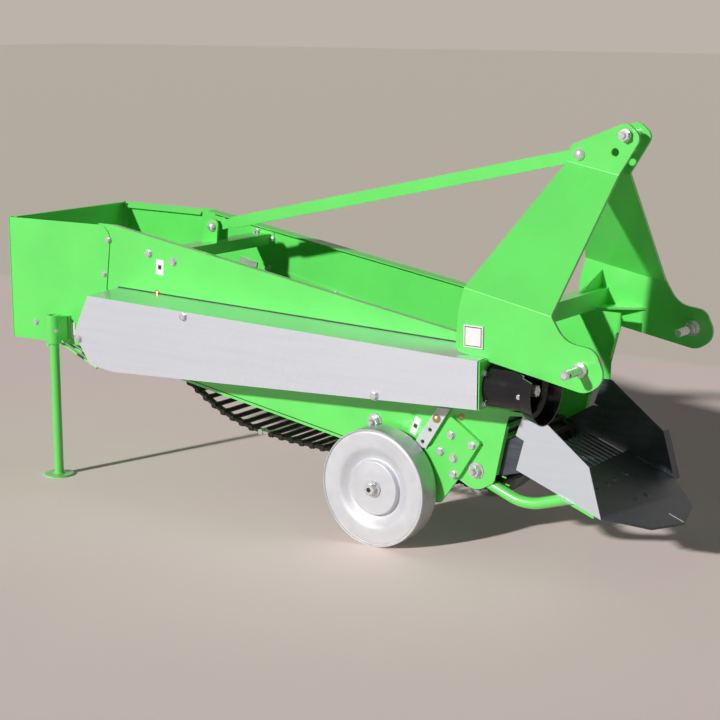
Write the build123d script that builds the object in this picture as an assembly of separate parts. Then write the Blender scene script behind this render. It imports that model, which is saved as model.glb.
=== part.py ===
from build123d import *
import math
import os

# Single-row potato digger, carried by a tractor's three-point linkage and parked on two
# drum wheels and one stand. Millimetres, +X towards the tractor, +Y to the left, +Z up.
# While building, X counts from the wheel axle; on export the whole machine moves along X
# so that the origin lies on the ground under the middle of its length.
# Outlines are lists of (x, z) points seen from the side, unless they say otherwise.

# ---- driving dimensions ------------------------------------------------------------------
channel_half = 280.0        # from the middle to the inner face of a side panel
panel_t = 4.0               # side panel sheet
panel_slope = -0.158        # fall of the side panels towards the front
panel_depth = 468.0         # side panel, top edge to bottom edge, measured upright
panel_top_z = 928.0         # top edge of the side panels at their rear kink
panel_kink_x = -1184.0
panel_rear_x = -1240.0
panel_front_x = 130.0
flange = 36.0               # folded top edge of the side panels
flange_fall = 5.0           # how much lower its inner edge lies
flange_front_x = 296.0      # where it ends on the cheek plates
cheek_flange = 21.0         # folded front edge of the cheek plates that carry the share
liner_t = 3.0               # strips that close the gap beside the rod web
liner_h = 62.0
liner_rear_x = -976.0
liner_top_z = 751.0         # top edge of the liners at their rear
liner_fall = 0.2235

box_rear_x = -1663.0        # rear hopper box
box_front_x = -1179.0
box_flare = 25.0            # how much further out the box stands at its rear end
box_t = 3.0
box_corner_r = 50.0         # rounded front corner of the box sides
box_slant = 28.0            # how far their front edge leans back
box_slant_high = 225.0      # over this height
box_play = 4.0              # between the rear box and the drive cover
box_top_z = 924.0
box_bottom_z = 479.0
hem = 20.0                  # folded rim of the box

grate_rod_r = 5.0
grate_pitch = 25.0
grate_fall = 0.41           # height lost for each length towards the front
grate_end_x = -1249.0       # front end of the middle rod
grate_bow = 0.00083         # how the rod ends curve back towards the sides
grate_rear_z = 538.0

wheel_r = 190.0
wheel_width = 80.0
wheel_sheet = 4.0
wheel_gap = 6.0             # between the wheel and the plates beside it
wheel_dish_in = 6.0         # how far the wheel's middle lies behind its outer face
axle_r = 17.5
hub_r = 26.0
washer_r = 29.0
washer_t = 4.5
run_fit = 0.05              # radial clearance of everything that turns or slides
end_play = 0.5

arm_t = 8.0                 # wheel arm plate
carrier_t = 8.0             # plate bolted over the wheel arm
strap_t = 8.0

hitch_out = 109.0           # from a side panel out to the face of its headstock plate
head_t = 10.0
mast_half = 44.6            # outer face of the top link lugs
link_pin_r = 14.0           # category 2 lower link pins
link_pin_x = 722.0
link_pin_z = 664.0
link_pin_out = 103.0        # free length outside the plate
link_pin_in = 122.0         # length inside the outer face of the plate
pin_fit = 0.25              # radial clearance of a bolted pin in its hole
top_pin_r = 12.5
top_pin_x = 672.0
top_pin_z = 1303.0
top_hole_x = 637.0
top_hole_z = 1251.0
brace_pin_r = 10.0
brace_pin_x = 519.0
brace_pin_z = 1239.0

brace_size = 40.0           # square tube of the top brace
brace_wall = 4.0
brace_foot_x = -933.0
brace_foot_z = 912.0
brace_tube_start = 86.0     # from the foot bolt to the end of the square tube
tongue_t = 20.0
clevis_t = 8.0
clevis_r = 28.0
ear_play = 2.0              # between the brace and each ear

beam_x = -950.0             # rear cross beam, rectangular tube on its side
beam_z = 835.0
beam_wide = 80.0
beam_high = 40.0
tube_wall = 5.0
cross_x = 388.0             # headstock cross tube
cross_z = 736.0
cross_size = 60.0
gusset_t = 8.0
rib_high = 60.0             # upright gusset on the cross tube
rib_wide = 157.0
flat_long = 145.0           # flat gusset in front of the cross tube
flat_wide = 85.0

cover_depth = 156.0         # from the side panel out to the cover's face
cover_t = 2.0
cover_top_fall = 9.0        # the cover's roof slopes outwards
cover_front_x = 410.0
end_gap = 4.0               # between the cover and the plate before its open front
end_plate_t = 4.0
shaft_out = 72.0            # power shaft, measured out from the right-hand panel
shaft_z = 574.0
shaft_r = 15.0              # inside the cover
stub_r = 17.5               # splined stub for the tractor's power shaft
stub_rear_x = 430.0
shaft_front_x = 568.0
shaft_rear_x = -1070.0
gearbox_rear = 54.0         # gearbox, measured from the drive shaft
gearbox_front = 90.0
gearbox_down = 130.0
gearbox_up = 62.0
bearing_wide = 55.0         # block that carries the front of the shaft
bearing_high = 72.0
guard_r = 70.0
guard_wall = 4.0
guard_ring_r = 75.0
guard_mouth_r = 100.0
guard_mouth_x = 595.0
guard_ring_x = 540.0
guard_gap = 3.0             # between the guard's notch and the headstock plate

web_gap = 42.0              # between a side panel and the rod web
band_width = 30.0
band_t = 20.0
rod_r = 8.5
rod_pitch = 43.0
front_roller_x = 320.0      # its shaft also carries the share
front_roller_z = 278.0
front_roller_r = 68.0       # to the middle of the web
drive_x = -1100.0
drive_z = 614.0
drive_r = 75.0
return_fall = 0.61          # slope of the web where it leaves the drive sprockets
return_bend_x = -740.0      # points that the slack return run of the web bends round
return_mid_x = -600.0
return_mid_z = 264.0
return_low_x = -405.0
return_low_z = 246.0
return_r = 450.0
idler_x = -57.0             # roller that carries the upper run
idler_z = 379.0
drum_wall = 5.0
web_shaft_r = 17.5
roller_gap = 1.0
bend_ease = 1.0             # how much tighter the web bends than its end circles

arm_front_x = 478.0         # plate that hangs the share from the roller shaft
arm_top_z = 396.0
arm_ring_r = 26.0
share_t = 8.0
share_gap = 23.0            # how much narrower than the channel the share is on each side
share_rear_x = 588.0
share_rear_z = 251.0
share_corner_x = 737.0
share_nose_x = 848.0
share_taper = 110.0         # how much narrower the share's nose is on each side
share_tip_x = 888.0
share_fall = 0.37
wing_t = 5.0
finger_count = 17
finger_pitch = 28.0
finger_w = 12.0
finger_rear_x = 428.0
wing_top_z = 488.0
wing_front_x = 692.0        # where the wing's top edge meets its front edge
wing_front_z = 343.0
wing_flange = 42.0          # strip folded outwards on the left wing
skid_r = 18.0
skid_path = [(352.0, 240.0), (482.0, 190.0), (640.0, 239.0)]
skid_bend_r = 165.0
skid_bar_rear_x = 596.0     # flat bar under the wing that the skid runs into
skid_bar_front_x = 712.0
skid_bar_t = 10.0
skid_bar_wide = 40.0

stand_x = -1406.0
stand_out = 72.0           # from the right-hand panel out to the leg
leg_r = 17.0
leg_wall = 3.5
leg_top_z = 586.0
sleeve_r = 25.0
sleeve_bottom_z = 490.0
sleeve_top_z = 593.0
pad_half = 28.0             # half the width of the sleeve's pad on the box
foot_r = 53.0
foot_t = 6.0

# ---- places worked out from them ---------------------------------------------------------
panel_y = channel_half + panel_t                      # outer face of the side panels
hitch_half = panel_y + hitch_out
cover_half = panel_y + cover_depth
end_plate_x = cover_front_x + end_gap
shaft_y = -panel_y - shaft_out
stand_y = -panel_y - stand_out
web_half = channel_half - web_gap
share_half = channel_half - share_gap
share_nose_half = share_half - share_taper
arm_y = panel_y + arm_t                               # outer face of the wheel arms
carrier_y = arm_y + carrier_t
wheel_in_y = carrier_y + wheel_gap
wheel_out_y = wheel_in_y + wheel_width
wheel_z = wheel_r
head_in_y = hitch_half - head_t
lug_in_y = mast_half - head_t
origin_x = (box_rear_x + share_tip_x) / 2


def panel_top(x):
    """Height of the side panels' top edge."""
    return panel_top_z + panel_slope * (x - panel_kink_x)


run_length = math.hypot(front_roller_x - drive_x, drive_z - front_roller_z)
web_angle = math.atan2(drive_z - front_roller_z, front_roller_x - drive_x)
web_angle += math.asin((drive_r - front_roller_r) / run_length)


def web_top(x):
    """Height of the middle of the web's upper run, which touches both end circles."""
    at_roller = front_roller_z + front_roller_r / math.cos(web_angle)
    return at_roller + math.tan(web_angle) * (front_roller_x - x)


def share_top(x):
    """Height of the share floor's upper face."""
    return share_rear_z - share_fall * (x - share_rear_x)


# ---- shape helpers -----------------------------------------------------------------------
def side_plate(points, y_low, thickness, radii=0):
    """Plate with a side-view outline, from y_low towards the left."""
    if radii == 0:
        wire = Polyline(*points, close=True)
    else:
        wire = FilletPolyline(*points, radius=radii, close=True)
    return extrude(Plane.XZ.offset(-y_low) * make_face(wire), amount=-thickness)


def block(x_low, x_high, y_low, y_high, z_low, z_high):
    """Box between two corners."""
    size = Box(x_high - x_low, y_high - y_low, z_high - z_low)
    return Pos((x_low + x_high) / 2, (y_low + y_high) / 2, (z_low + z_high) / 2) * size


def rod_x(radius, y, z, x_low, x_high):
    """Round bar along X."""
    return Pos((x_low + x_high) / 2, y, z) * Rot(0, 90, 0) * Cylinder(radius, x_high - x_low)


def rod_y(radius, x, z, y_low, y_high):
    """Round bar along Y."""
    return Pos(x, (y_low + y_high) / 2, z) * Rot(90, 0, 0) * Cylinder(radius, y_high - y_low)


def rod_z(radius, x, y, z_low, z_high):
    """Round bar along Z."""
    return Pos(x, y, (z_low + z_high) / 2) * Cylinder(radius, z_high - z_low)


def left_of(shape):
    """The same piece on the left-hand side."""
    return mirror(shape, about=Plane.XZ)


def square_tube_y(x, z, wide, high, wall, y_low, y_high):
    """Rectangular tube along Y."""
    outer = block(x - wide / 2, x + wide / 2, y_low, y_high, z - high / 2, z + high / 2)
    hole_w = wide / 2 - wall
    hole_h = high / 2 - wall
    return outer - block(x - hole_w, x + hole_w, y_low - 1, y_high + 1, z - hole_h, z + hole_h)


nodes = {}


def both_sides(name, shape):
    """Store a right-hand piece and its mirror image."""
    nodes[name + "_right"] = shape
    nodes[name + "_left"] = left_of(shape)


# ---- side panels, cheeks and liners ------------------------------------------------------
def top_fold(x_low, x_high):
    """Folded strip along the right-hand panel's top edge, falling a little inwards."""
    top = panel_top(x_low)
    profile = [
        (-panel_y, top),
        (-panel_y + flange, top - flange_fall),
        (-panel_y + flange, top - flange_fall - panel_t),
        (-panel_y, top - panel_t),
    ]
    face = Plane.YZ.offset(x_low) * make_face(Polyline(*profile, close=True))
    length = math.hypot(x_high - x_low, panel_slope * (x_high - x_low))
    return extrude(face, amount=length, dir=(1, 0, panel_slope))


def side_panel():
    """Long sloping sheet with its top edge folded inwards."""
    kink_z = panel_top_z
    front_z = panel_top(panel_front_x)
    rear_bottom_z = panel_top(panel_rear_x) - panel_depth
    sheet = side_plate(
        [
            (panel_rear_x, kink_z),
            (panel_kink_x, kink_z),
            (panel_front_x, front_z),
            (panel_front_x, front_z - panel_depth),
            (panel_rear_x, rear_bottom_z),
        ],
        -panel_y,
        panel_t,
    )
    return sheet + top_fold(panel_kink_x, panel_front_x)


cheek_upper = (517.0, 658.0)
cheek_middle = (488.0, 540.0)
cheek_neck = (426.0, 451.0)
cheek_lower = (383.0, 248.0)
cheek_outline = [
    (panel_front_x, panel_top(panel_front_x)),
    (cross_x - 70.0, panel_top(cross_x - 70.0)),
    (cross_x - cross_size / 2, cross_z - cross_size / 2),
    (cheek_upper[0], cross_z - cross_size / 2),
    cheek_upper,
    cheek_middle,
    (486.0, 472.0),
    (432.0, 466.0),
    cheek_neck,
    cheek_lower,
    (318.0, 210.0),
    (246.0, 245.0),
    (panel_front_x, panel_top(panel_front_x) - panel_depth),
]
cheek_radii = [0, 0, 0, 0, 0, 20.0, 12.0, 0, 0, 30.0, 60.0, 30.0, 0]


def edge_fold(upper, lower):
    """Strip folded inwards along the middle of one front edge of a cheek."""
    trim = 0.12
    rise = Vector(upper[0] - lower[0], upper[1] - lower[1])
    low = Vector(*lower) + trim * rise
    high = Vector(*upper) - trim * rise
    points = [
        (high.X, high.Y), (low.X, low.Y), (low.X - panel_t, low.Y), (high.X - panel_t, high.Y),
    ]
    return side_plate(points, -panel_y, cheek_flange)


def cheek():
    """Front cheek plate with stiffening folds along its front and top edges."""
    plate = side_plate(cheek_outline, -panel_y, panel_t, cheek_radii)
    folds = edge_fold(cheek_upper, cheek_middle) + edge_fold(cheek_neck, cheek_lower)
    return plate + folds + top_fold(panel_front_x, flange_front_x)


def liner():
    """Wear strip on the inside of a panel, its rounded tab at the rear."""
    front_x = panel_front_x - 1.0
    front_z = liner_top_z - liner_fall * (front_x - liner_rear_x)
    points = [
        (liner_rear_x, liner_top_z),
        (front_x, front_z),
        (front_x, front_z - liner_h),
        (liner_rear_x, liner_top_z - liner_h),
    ]
    return side_plate(points, -channel_half, liner_t, [28.0, 0, 0, 28.0])


both_sides("side_panel", side_panel())
both_sides("front_cheek", cheek())
both_sides("web_liner", liner())


# ---- rear box ----------------------------------------------------------------------------
box_side_turn = math.degrees(math.atan(box_flare / (box_front_x - box_rear_x)))
# the right-hand box side's own frame: its front bottom corner, outer face at y = 0
box_side_place = Pos(box_front_x, -panel_y - box_t, box_bottom_z) * Rot(0, 0, box_side_turn)


def box_side():
    """Side of the rear box: a flat sheet with a rim folded inwards and down."""
    length = box_front_x - box_rear_x - 1.5 * box_t
    high = box_top_z - box_bottom_z
    profile = [
        (0, 0),
        (0, high),
        (hem, high - hem * 0.9),
        (hem, high - hem * 0.9 - box_t * 1.3),
        (box_t, high - box_t * 1.6),
        (box_t, 0),
    ]
    face = Plane.YZ * make_face(Polyline(*profile, close=True))
    front_edge = [
        (-length - 1, -1),
        (-length - 1, high + 1),
        (0, high),
        (-box_slant, high - box_slant_high),
        (-box_slant, -1),
    ]
    sheet = extrude(face, amount=-length)
    sheet &= side_plate(front_edge, -1, hem + 2, [0, 0, box_corner_r, 0, 0])
    overlap = block(
        panel_rear_x - 2.0, box_front_x + 1, -panel_y, 0, box_bottom_z - 1, box_top_z + 1
    )
    return box_side_place * sheet - overlap


def box_end():
    """Rear wall of the box, with a folded rim."""
    half = panel_y + box_t + box_flare
    wall = block(box_rear_x, box_rear_x + box_t, -half, half, box_bottom_z, box_top_z)
    rim_half = half - hem - box_t
    rim = block(
        box_rear_x, box_rear_x + hem, -rim_half, rim_half, box_top_z - box_t, box_top_z
    )
    return wall + rim


def rear_grate():
    """Round rods that slope down to the front under the box, on two cross bars."""
    bar_x = box_rear_x + box_t
    count = int(2 * (channel_half - 14.0) / grate_pitch)
    first_y = -(count - 1) * grate_pitch / 2
    grate = block(bar_x, bar_x + 8.0, -channel_half, channel_half,
                  grate_rear_z - 18.0, grate_rear_z + 12.0)
    for index in range(count):
        y = first_y + index * grate_pitch
        start = Vector(bar_x + 4.0, y, grate_rear_z)
        end_x = grate_end_x - grate_bow * y * y
        end = Vector(end_x, y, grate_rear_z - grate_fall * (end_x - start.X))
        axis = Plane(origin=start, z_dir=end - start)
        grate += axis * Pos(0, 0, (end - start).length / 2) * Cylinder(grate_rod_r, (end - start).length)
    tie_x = box_rear_x + 160.0
    tie_z = grate_rear_z - grate_fall * (tie_x - bar_x) - 2 * grate_rod_r
    tie_half = panel_y + 12.0
    return grate + rod_y(7.0, tie_x, tie_z, -tie_half, tie_half)


both_sides("rear_box_side", box_side())
nodes["rear_box_end"] = box_end()
nodes["rear_grate"] = rear_grate()

# ---- cross beams and top brace -----------------------------------------------------------
def gussets():
    """Upright and flat triangles that stiffen the right-hand end of the cross tube."""
    top = cross_z + cross_size / 2
    front = cross_x + cross_size / 2
    upright = [(-head_in_y, top), (-head_in_y, top + rib_high), (-head_in_y + rib_wide, top)]
    rib = extrude(Plane.YZ.offset(cross_x) * make_face(Polyline(*upright, close=True)), amount=gusset_t)
    flat = [(front, -head_in_y), (front + flat_long, -head_in_y), (front, -head_in_y + flat_wide)]
    level = Plane.XY.offset(cross_z - cross_size / 2)
    return rib + extrude(level * make_face(Polyline(*flat, close=True)), amount=gusset_t)


nodes["rear_beam"] = square_tube_y(
    beam_x, beam_z, beam_wide, beam_high, tube_wall, -channel_half, channel_half
)
cross_tube = square_tube_y(
    cross_x, cross_z, cross_size, cross_size, tube_wall, -head_in_y, head_in_y
)
nodes["cross_tube"] = cross_tube + gussets() + left_of(gussets())

beam_top = beam_z + beam_high / 2


def brace_clevis():
    """Two upright ears on the rear beam that hold the foot of the brace."""
    ear_points = [
        (beam_x - 32.0, beam_top),
        (beam_x + 38.0, beam_top),
        (brace_foot_x + clevis_r, brace_foot_z + clevis_r),
        (brace_foot_x - clevis_r, brace_foot_z + clevis_r),
    ]
    ear_gap = brace_size / 2 + ear_play
    ear = side_plate(ear_points, -ear_gap - clevis_t, clevis_t, [0, 0, 20.0, 26.0])
    ear -= rod_y(brace_pin_r + pin_fit, brace_foot_x, brace_foot_z, -100.0, 0)
    floor = block(beam_x - 32.0, beam_x + 38.0, -ear_gap, ear_gap, beam_top, beam_top + clevis_t)
    return ear + left_of(ear) + floor


def top_brace():
    """Square tube from the clevis to the mast lugs, with a bolted tongue at each end."""
    foot = Vector(brace_foot_x, 0, brace_foot_z)
    head = Vector(brace_pin_x, 0, brace_pin_z)
    length = (head - foot).length
    along = Plane(origin=foot, x_dir=(head - foot), z_dir=(0, 1, 0))
    head_end = length - 30.0
    tube = Pos((brace_tube_start + head_end) / 2, 0, 0) * Box(
        head_end - brace_tube_start, brace_size, brace_size
    )
    bore = brace_size - 2 * brace_wall
    tube -= Pos(length / 2, 0, 0) * Box(2 * length, bore, bore)
    ends = []
    for at, inner in ((0.0, brace_tube_start + 30.0), (length, head_end - 30.0)):
        low = min(at, inner)
        high = max(at, inner)
        plate = Pos((low + high) / 2, 0, 0) * Box(high - low, bore, tongue_t)
        plate += Pos(at, 0, 0) * Cylinder(bore / 2, tongue_t)
        plate -= Pos(at, 0, 0) * Cylinder(brace_pin_r + pin_fit, 2 * tongue_t)
        ends.append(plate)
    return along * (tube + ends[0] + ends[1])


def brace_bolt(x, z, half):
    """Bolt with head and nut across a joint that stands out half on each side."""
    shank = rod_y(brace_pin_r, x, z, -half - 14.0, half + 18.0)
    head = rod_y(19.0, x, z, -half - 14.0, -half)
    return shank + head + rod_y(17.0, x, z, half, half + 12.0)


nodes["brace_clevis"] = brace_clevis()
nodes["top_brace"] = top_brace()
ear_out = brace_size / 2 + ear_play + clevis_t
nodes["brace_foot_bolt"] = brace_bolt(brace_foot_x, brace_foot_z, ear_out)
nodes["brace_head_bolt"] = brace_bolt(brace_pin_x, brace_pin_z, mast_half)

# ---- headstock ---------------------------------------------------------------------------
# The plate is bent twice about lines that fall towards the front, so its section is the
# same all along that direction, and the side view then trims it.
bend_fall = 0.1944
lower_bend = (332.0, 864.0)
upper_bend = (479.0, 1217.0)
head_outline = [
    (305.0, 672.0),
    (314.0, 793.0),
    (332.0, 864.0),
    (479.0, 1217.0),
    (492.0, 1268.0),
    (top_pin_x, top_pin_z + 38.0),
    (top_pin_x + 50.0, top_pin_z - 3.0),
    (650.0, 1183.0),
    (622.0, 808.0),
    (668.0, 738.0),
    (link_pin_x + 42.0, link_pin_z + 62.0),
    (link_pin_x + 82.0, link_pin_z - 24.0),
    (link_pin_x + 18.0, link_pin_z - 70.0),
]
head_radii = [22.0, 0, 0, 0, 10.0, 30.0, 30.0, 0, 30.0, 80.0, 45.0, 50.0, 60.0]


def headstock_plate():
    """Side plate of the headstock, from the lower link lug up to the top link lug."""
    turn = math.degrees(math.atan(bend_fall))
    cos_turn = math.cos(math.radians(turn))
    sin_turn = math.sin(math.radians(turn))

    def across(point):
        """Height of a point above the bend direction."""
        return point[0] * sin_turn + point[1] * cos_turn

    low = across(lower_bend)
    high = across(upper_bend)
    inset = head_t * math.tan(math.atan((hitch_half - mast_half) / (high - low)) / 2)
    floor_z = link_pin_z / 2
    roof_z = 2 * high - low
    section = [
        (-hitch_half, floor_z),
        (-hitch_half, low),
        (-mast_half, high),
        (-mast_half, roof_z),
        (-lug_in_y, roof_z),
        (-lug_in_y, high - inset),
        (-head_in_y, low - inset),
        (-head_in_y, floor_z),
    ]
    sheet = extrude(Plane.YZ * make_face(Polyline(*section, close=True)), amount=2 * link_pin_x, both=True)
    sheet = Rot(0, turn, 0) * sheet
    plate = sheet & side_plate(head_outline, -hitch_half - 10.0, hitch_half + 10.0, head_radii)
    holes = (
        (link_pin_r + pin_fit, link_pin_x, link_pin_z),
        (top_pin_r + pin_fit, top_pin_x, top_pin_z),
        (top_pin_r + pin_fit, top_hole_x, top_hole_z),
        (brace_pin_r + pin_fit, brace_pin_x, brace_pin_z),
    )
    for radius, x, z in holes:
        plate -= rod_y(radius, x, z, -hitch_half - 20.0, 0)
    return plate


def link_pin():
    """Lower link pin with its collar outside the plate and its nut inside."""
    pin = rod_y(link_pin_r, link_pin_x, link_pin_z,
                -hitch_half - link_pin_out, -hitch_half + link_pin_in)
    collar = rod_y(22.0, link_pin_x, link_pin_z, -hitch_half - 14.0, -hitch_half)
    nut = rod_y(22.0, link_pin_x, link_pin_z, -head_in_y, -head_in_y + 20.0)
    return pin + collar + nut


def top_pin():
    """Top link pin through both lugs, with a washer and a nut on each end."""
    pin = rod_y(top_pin_r, top_pin_x, top_pin_z, -mast_half - 30.0, mast_half + 30.0)
    cap = rod_y(20.0, top_pin_x, top_pin_z, -mast_half - 14.0, -mast_half)
    return pin + cap + left_of(cap)


both_sides("headstock_plate", headstock_plate())
both_sides("lower_link_pin", link_pin())
nodes["top_link_pin"] = top_pin()

# ---- drive -------------------------------------------------------------------------------
cover_outline = [
    (-1153.0, 699.0),
    (cover_front_x, 659.0),
    (cover_front_x, 512.0),
    (-1043.0, 444.0),
    (-1152.0, 457.0),
    (-1223.0, 561.0),
]


def headstock_room():
    """Space kept free round the right-hand headstock plate."""
    return side_plate(head_outline, -hitch_half - 2.0, head_t + 4.0, head_radii)


def drive_cover():
    """Sheet box over the drive, open towards the side panel and at its front."""
    def face_at(y, inset, lift):
        """Outline at one distance from the middle, moved inwards by the sheet."""
        points = list(cover_outline)
        points[0] = (points[0][0], points[0][1] + lift)
        points[1] = (points[1][0], points[1][1] + lift)
        face = make_face(Polyline(*points, close=True))
        if inset:
            face = offset(face, amount=-inset, kind=Kind.INTERSECTION)
        return Plane.XZ.offset(y) * face

    depth = cover_half - panel_y
    slope = cover_top_fall / depth
    outer = loft([face_at(cover_half, 0, 0), face_at(panel_y, 0, cover_top_fall)], ruled=True)
    past = 5.0
    inner = loft(
        [
            face_at(cover_half - cover_t, cover_t, slope * cover_t),
            face_at(panel_y - past, cover_t, cover_top_fall + slope * past),
        ],
        ruled=True,
    )
    shell = outer - inner
    roof_z = cover_outline[1][1]
    floor_z = cover_outline[2][1]
    shell -= block(
        cover_front_x - 2 * cover_t, cover_front_x + 1, -cover_half + cover_t, -panel_y,
        floor_z + cover_t, roof_z - cover_t,
    )
    box_room = block(
        box_rear_x, box_front_x + box_play, -panel_y - box_t - box_play, 0, 0, box_top_z,
    )
    return shell - box_room - headstock_room()


def cover_end():
    """Plate that closes the front of the cover, with a hole for the shaft."""
    plate = block(
        end_plate_x, end_plate_x + end_plate_t, -cover_half, -panel_y,
        cover_outline[2][1], cover_outline[1][1],
    )
    plate -= rod_x(shaft_r + 6.0, shaft_y, shaft_z, cover_front_x, guard_ring_x)
    return plate - headstock_room()


def pto_guard():
    """Bell-shaped plastic guard round the power shaft's end."""
    start = end_plate_x + end_plate_t
    ring_end = guard_ring_x + 9.0
    outer = [
        (start, guard_r),
        (guard_ring_x, guard_r),
        (guard_ring_x, guard_ring_r),
        (ring_end, guard_ring_r),
        (ring_end + 6.0, guard_mouth_r - 12.0),
        (guard_mouth_x, guard_mouth_r),
    ]
    inner = [(x, radius - guard_wall) for x, radius in reversed(outer[3:])]
    inner.append((guard_ring_x, guard_r - guard_wall))
    inner.append((start, guard_r - guard_wall))
    profile = make_face(Polyline(*outer, *inner, close=True))
    shell = revolve(Plane.XY * profile, axis=Axis.X)
    shell = Pos(0, shaft_y, shaft_z) * shell
    # no part of the guard stands before the headstock plate, whose lower edge cuts into it
    outside = shaft_y - guard_mouth_r - 5.0
    notch = side_plate(head_outline, outside, -head_in_y + guard_gap - outside, head_radii)
    return shell - Pos(0, 0, -guard_gap) * notch


def shaft_bearing():
    """Bearing block that carries the front of the power shaft."""
    x_low = cover_front_x - 10.0 - bearing_wide
    x_high = cover_front_x - 10.0
    half = bearing_high / 2
    base = block(x_low, x_high, shaft_y - half, -panel_y, shaft_z - half, shaft_z + half)
    return base - rod_x(shaft_r + run_fit, shaft_y, shaft_z, x_low - 1, x_high + 1)


def gearbox():
    """Bevel gearbox at the rear of the cover, bored for the power shaft."""
    case = block(
        drive_x - gearbox_rear, drive_x + gearbox_front, -cover_half + 12.0, -panel_y - 1.0,
        drive_z - gearbox_down, drive_z + gearbox_up,
    )
    return case - rod_x(shaft_r + run_fit, shaft_y, shaft_z, shaft_rear_x - 2.0, drive_x + gearbox_front + 1)


nodes["drive_cover"] = drive_cover()
nodes["cover_end"] = cover_end()
nodes["pto_guard"] = pto_guard()
nodes["shaft_bearing"] = shaft_bearing()
nodes["gearbox"] = gearbox()
power_shaft = rod_x(shaft_r, shaft_y, shaft_z, shaft_rear_x, stub_rear_x)
nodes["power_shaft"] = power_shaft + rod_x(stub_r, shaft_y, shaft_z, stub_rear_x, shaft_front_x)

# ---- rod web and its rollers -------------------------------------------------------------
web_front_x = front_roller_x + front_roller_r
web_rear_x = drive_x - drive_r
return_drop = drive_r * math.sqrt(1 + return_fall ** 2)


def return_line(x):
    """Straight stretch of the return run below the drive sprockets."""
    return drive_z - return_drop - return_fall * (x - drive_x)


roller_bottom = front_roller_z - front_roller_r
return_rise = (roller_bottom - return_low_z) / (front_roller_x - return_low_x)
web_path = [
    (web_front_x, web_top(web_front_x)),
    (web_rear_x, web_top(web_rear_x)),
    (web_rear_x, return_line(web_rear_x)),
    (return_bend_x, return_line(return_bend_x)),
    (return_mid_x, return_mid_z),
    (return_low_x, return_low_z),
    (web_front_x, roller_bottom + return_rise * front_roller_r),
]
front_bend = front_roller_r - bend_ease
rear_bend = drive_r - bend_ease
web_radii = [front_bend, rear_bend, rear_bend, return_r, return_r, return_r, front_bend]


def parallel(points, distance):
    """Closed counter-clockwise outline moved outwards by a distance."""
    moved = []
    for index, (x, z) in enumerate(points):
        before = points[index - 1]
        after = points[(index + 1) % len(points)]
        turn_in = math.atan2(z - before[1], x - before[0])
        turn_out = math.atan2(after[1] - z, after[0] - x)
        half = (turn_out - turn_in) / 2
        middle = turn_in + half - math.pi / 2
        reach = distance / math.cos(half)
        moved.append((x + reach * math.cos(middle), z + reach * math.sin(middle)))
    return moved


def web_outline(distance):
    """Web path moved outwards by a distance, as a closed wire."""
    radii = [radius + distance for radius in web_radii]
    return FilletPolyline(*parallel(web_path, distance), radius=radii, close=True)


def rod_web():
    """Endless web: two edge bands joined by cross rods."""
    wire = web_outline(0)
    ring = make_face(web_outline(band_t / 2)) - make_face(web_outline(-band_t / 2))
    band = extrude(Plane.XZ.offset(web_half) * ring, amount=-band_width)
    path = Wire(wire.edges())
    count = round(path.length / rod_pitch)
    rod_half = web_half - band_width / 2
    rods = []
    for index in range(count):
        point = path.position_at(index / count)
        hexagon = RegularPolygon(rod_r, 6)
        bar = extrude(hexagon, amount=rod_half, both=True)
        rods.append(Pos(point.X, 0, point.Y) * Rot(90, 0, 0) * bar)
    return band + left_of(band) + rods


def front_roller():
    """Plain roller that turns the web behind the share."""
    x, z = front_roller_x, front_roller_z
    drum_r = front_roller_r - band_t / 2 - roller_gap
    drum = rod_y(drum_r, x, z, -web_half, web_half)
    drum -= rod_y(drum_r - drum_wall, x, z, -web_half - 1, web_half + 1)
    disc = rod_y(drum_r - drum_wall / 2, x, z, -drum_wall, drum_wall)
    return drum + disc + rod_y(web_shaft_r, x, z, -channel_half, channel_half)


def drive_shaft():
    """Drive shaft with the discs that pull the web, from the gearbox to the left panel."""
    shaft = rod_y(web_shaft_r, drive_x, drive_z, -channel_half, channel_half)
    disc_r = drive_r - band_t / 2 - roller_gap
    for y in (-web_half + band_width / 2, 0.0, web_half - band_width / 2):
        shaft += rod_y(disc_r, drive_x, drive_z, y - 12.0, y + 12.0)
    return shaft


def support_roller():
    """Plain roller that carries the upper run."""
    x, z = idler_x, idler_z
    reach = (web_top(x) - z) * math.cos(web_angle)
    drum_r = reach - band_t / 2 - roller_gap
    drum = rod_y(drum_r, x, z, -web_half, web_half)
    drum -= rod_y(drum_r - drum_wall, x, z, -web_half - 1, web_half + 1)
    disc = rod_y(drum_r - drum_wall / 2, x, z, -drum_wall, drum_wall)
    return drum + disc + rod_y(web_shaft_r, x, z, -channel_half, channel_half)


def bearings_left():
    """Flange bearings on the outside of the left panel."""
    flanges = []
    for x, z in ((drive_x, drive_z), (idler_x, idler_z)):
        hub = rod_y(34.0, x, z, panel_y, panel_y + 22.0)
        base = side_plate(
            [(x - 62.0, z), (x, z + 52.0), (x + 62.0, z), (x, z - 52.0)],
            panel_y, 10.0, [18.0, 30.0, 18.0, 30.0],
        )
        flanges.append(hub + base)
    return Compound(children=flanges)


nodes["rod_web"] = rod_web()
nodes["web_front_roller"] = front_roller()
nodes["web_drive_shaft"] = drive_shaft()
nodes["web_support_roller"] = support_roller()
nodes["web_bearings_left"] = bearings_left()


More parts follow.
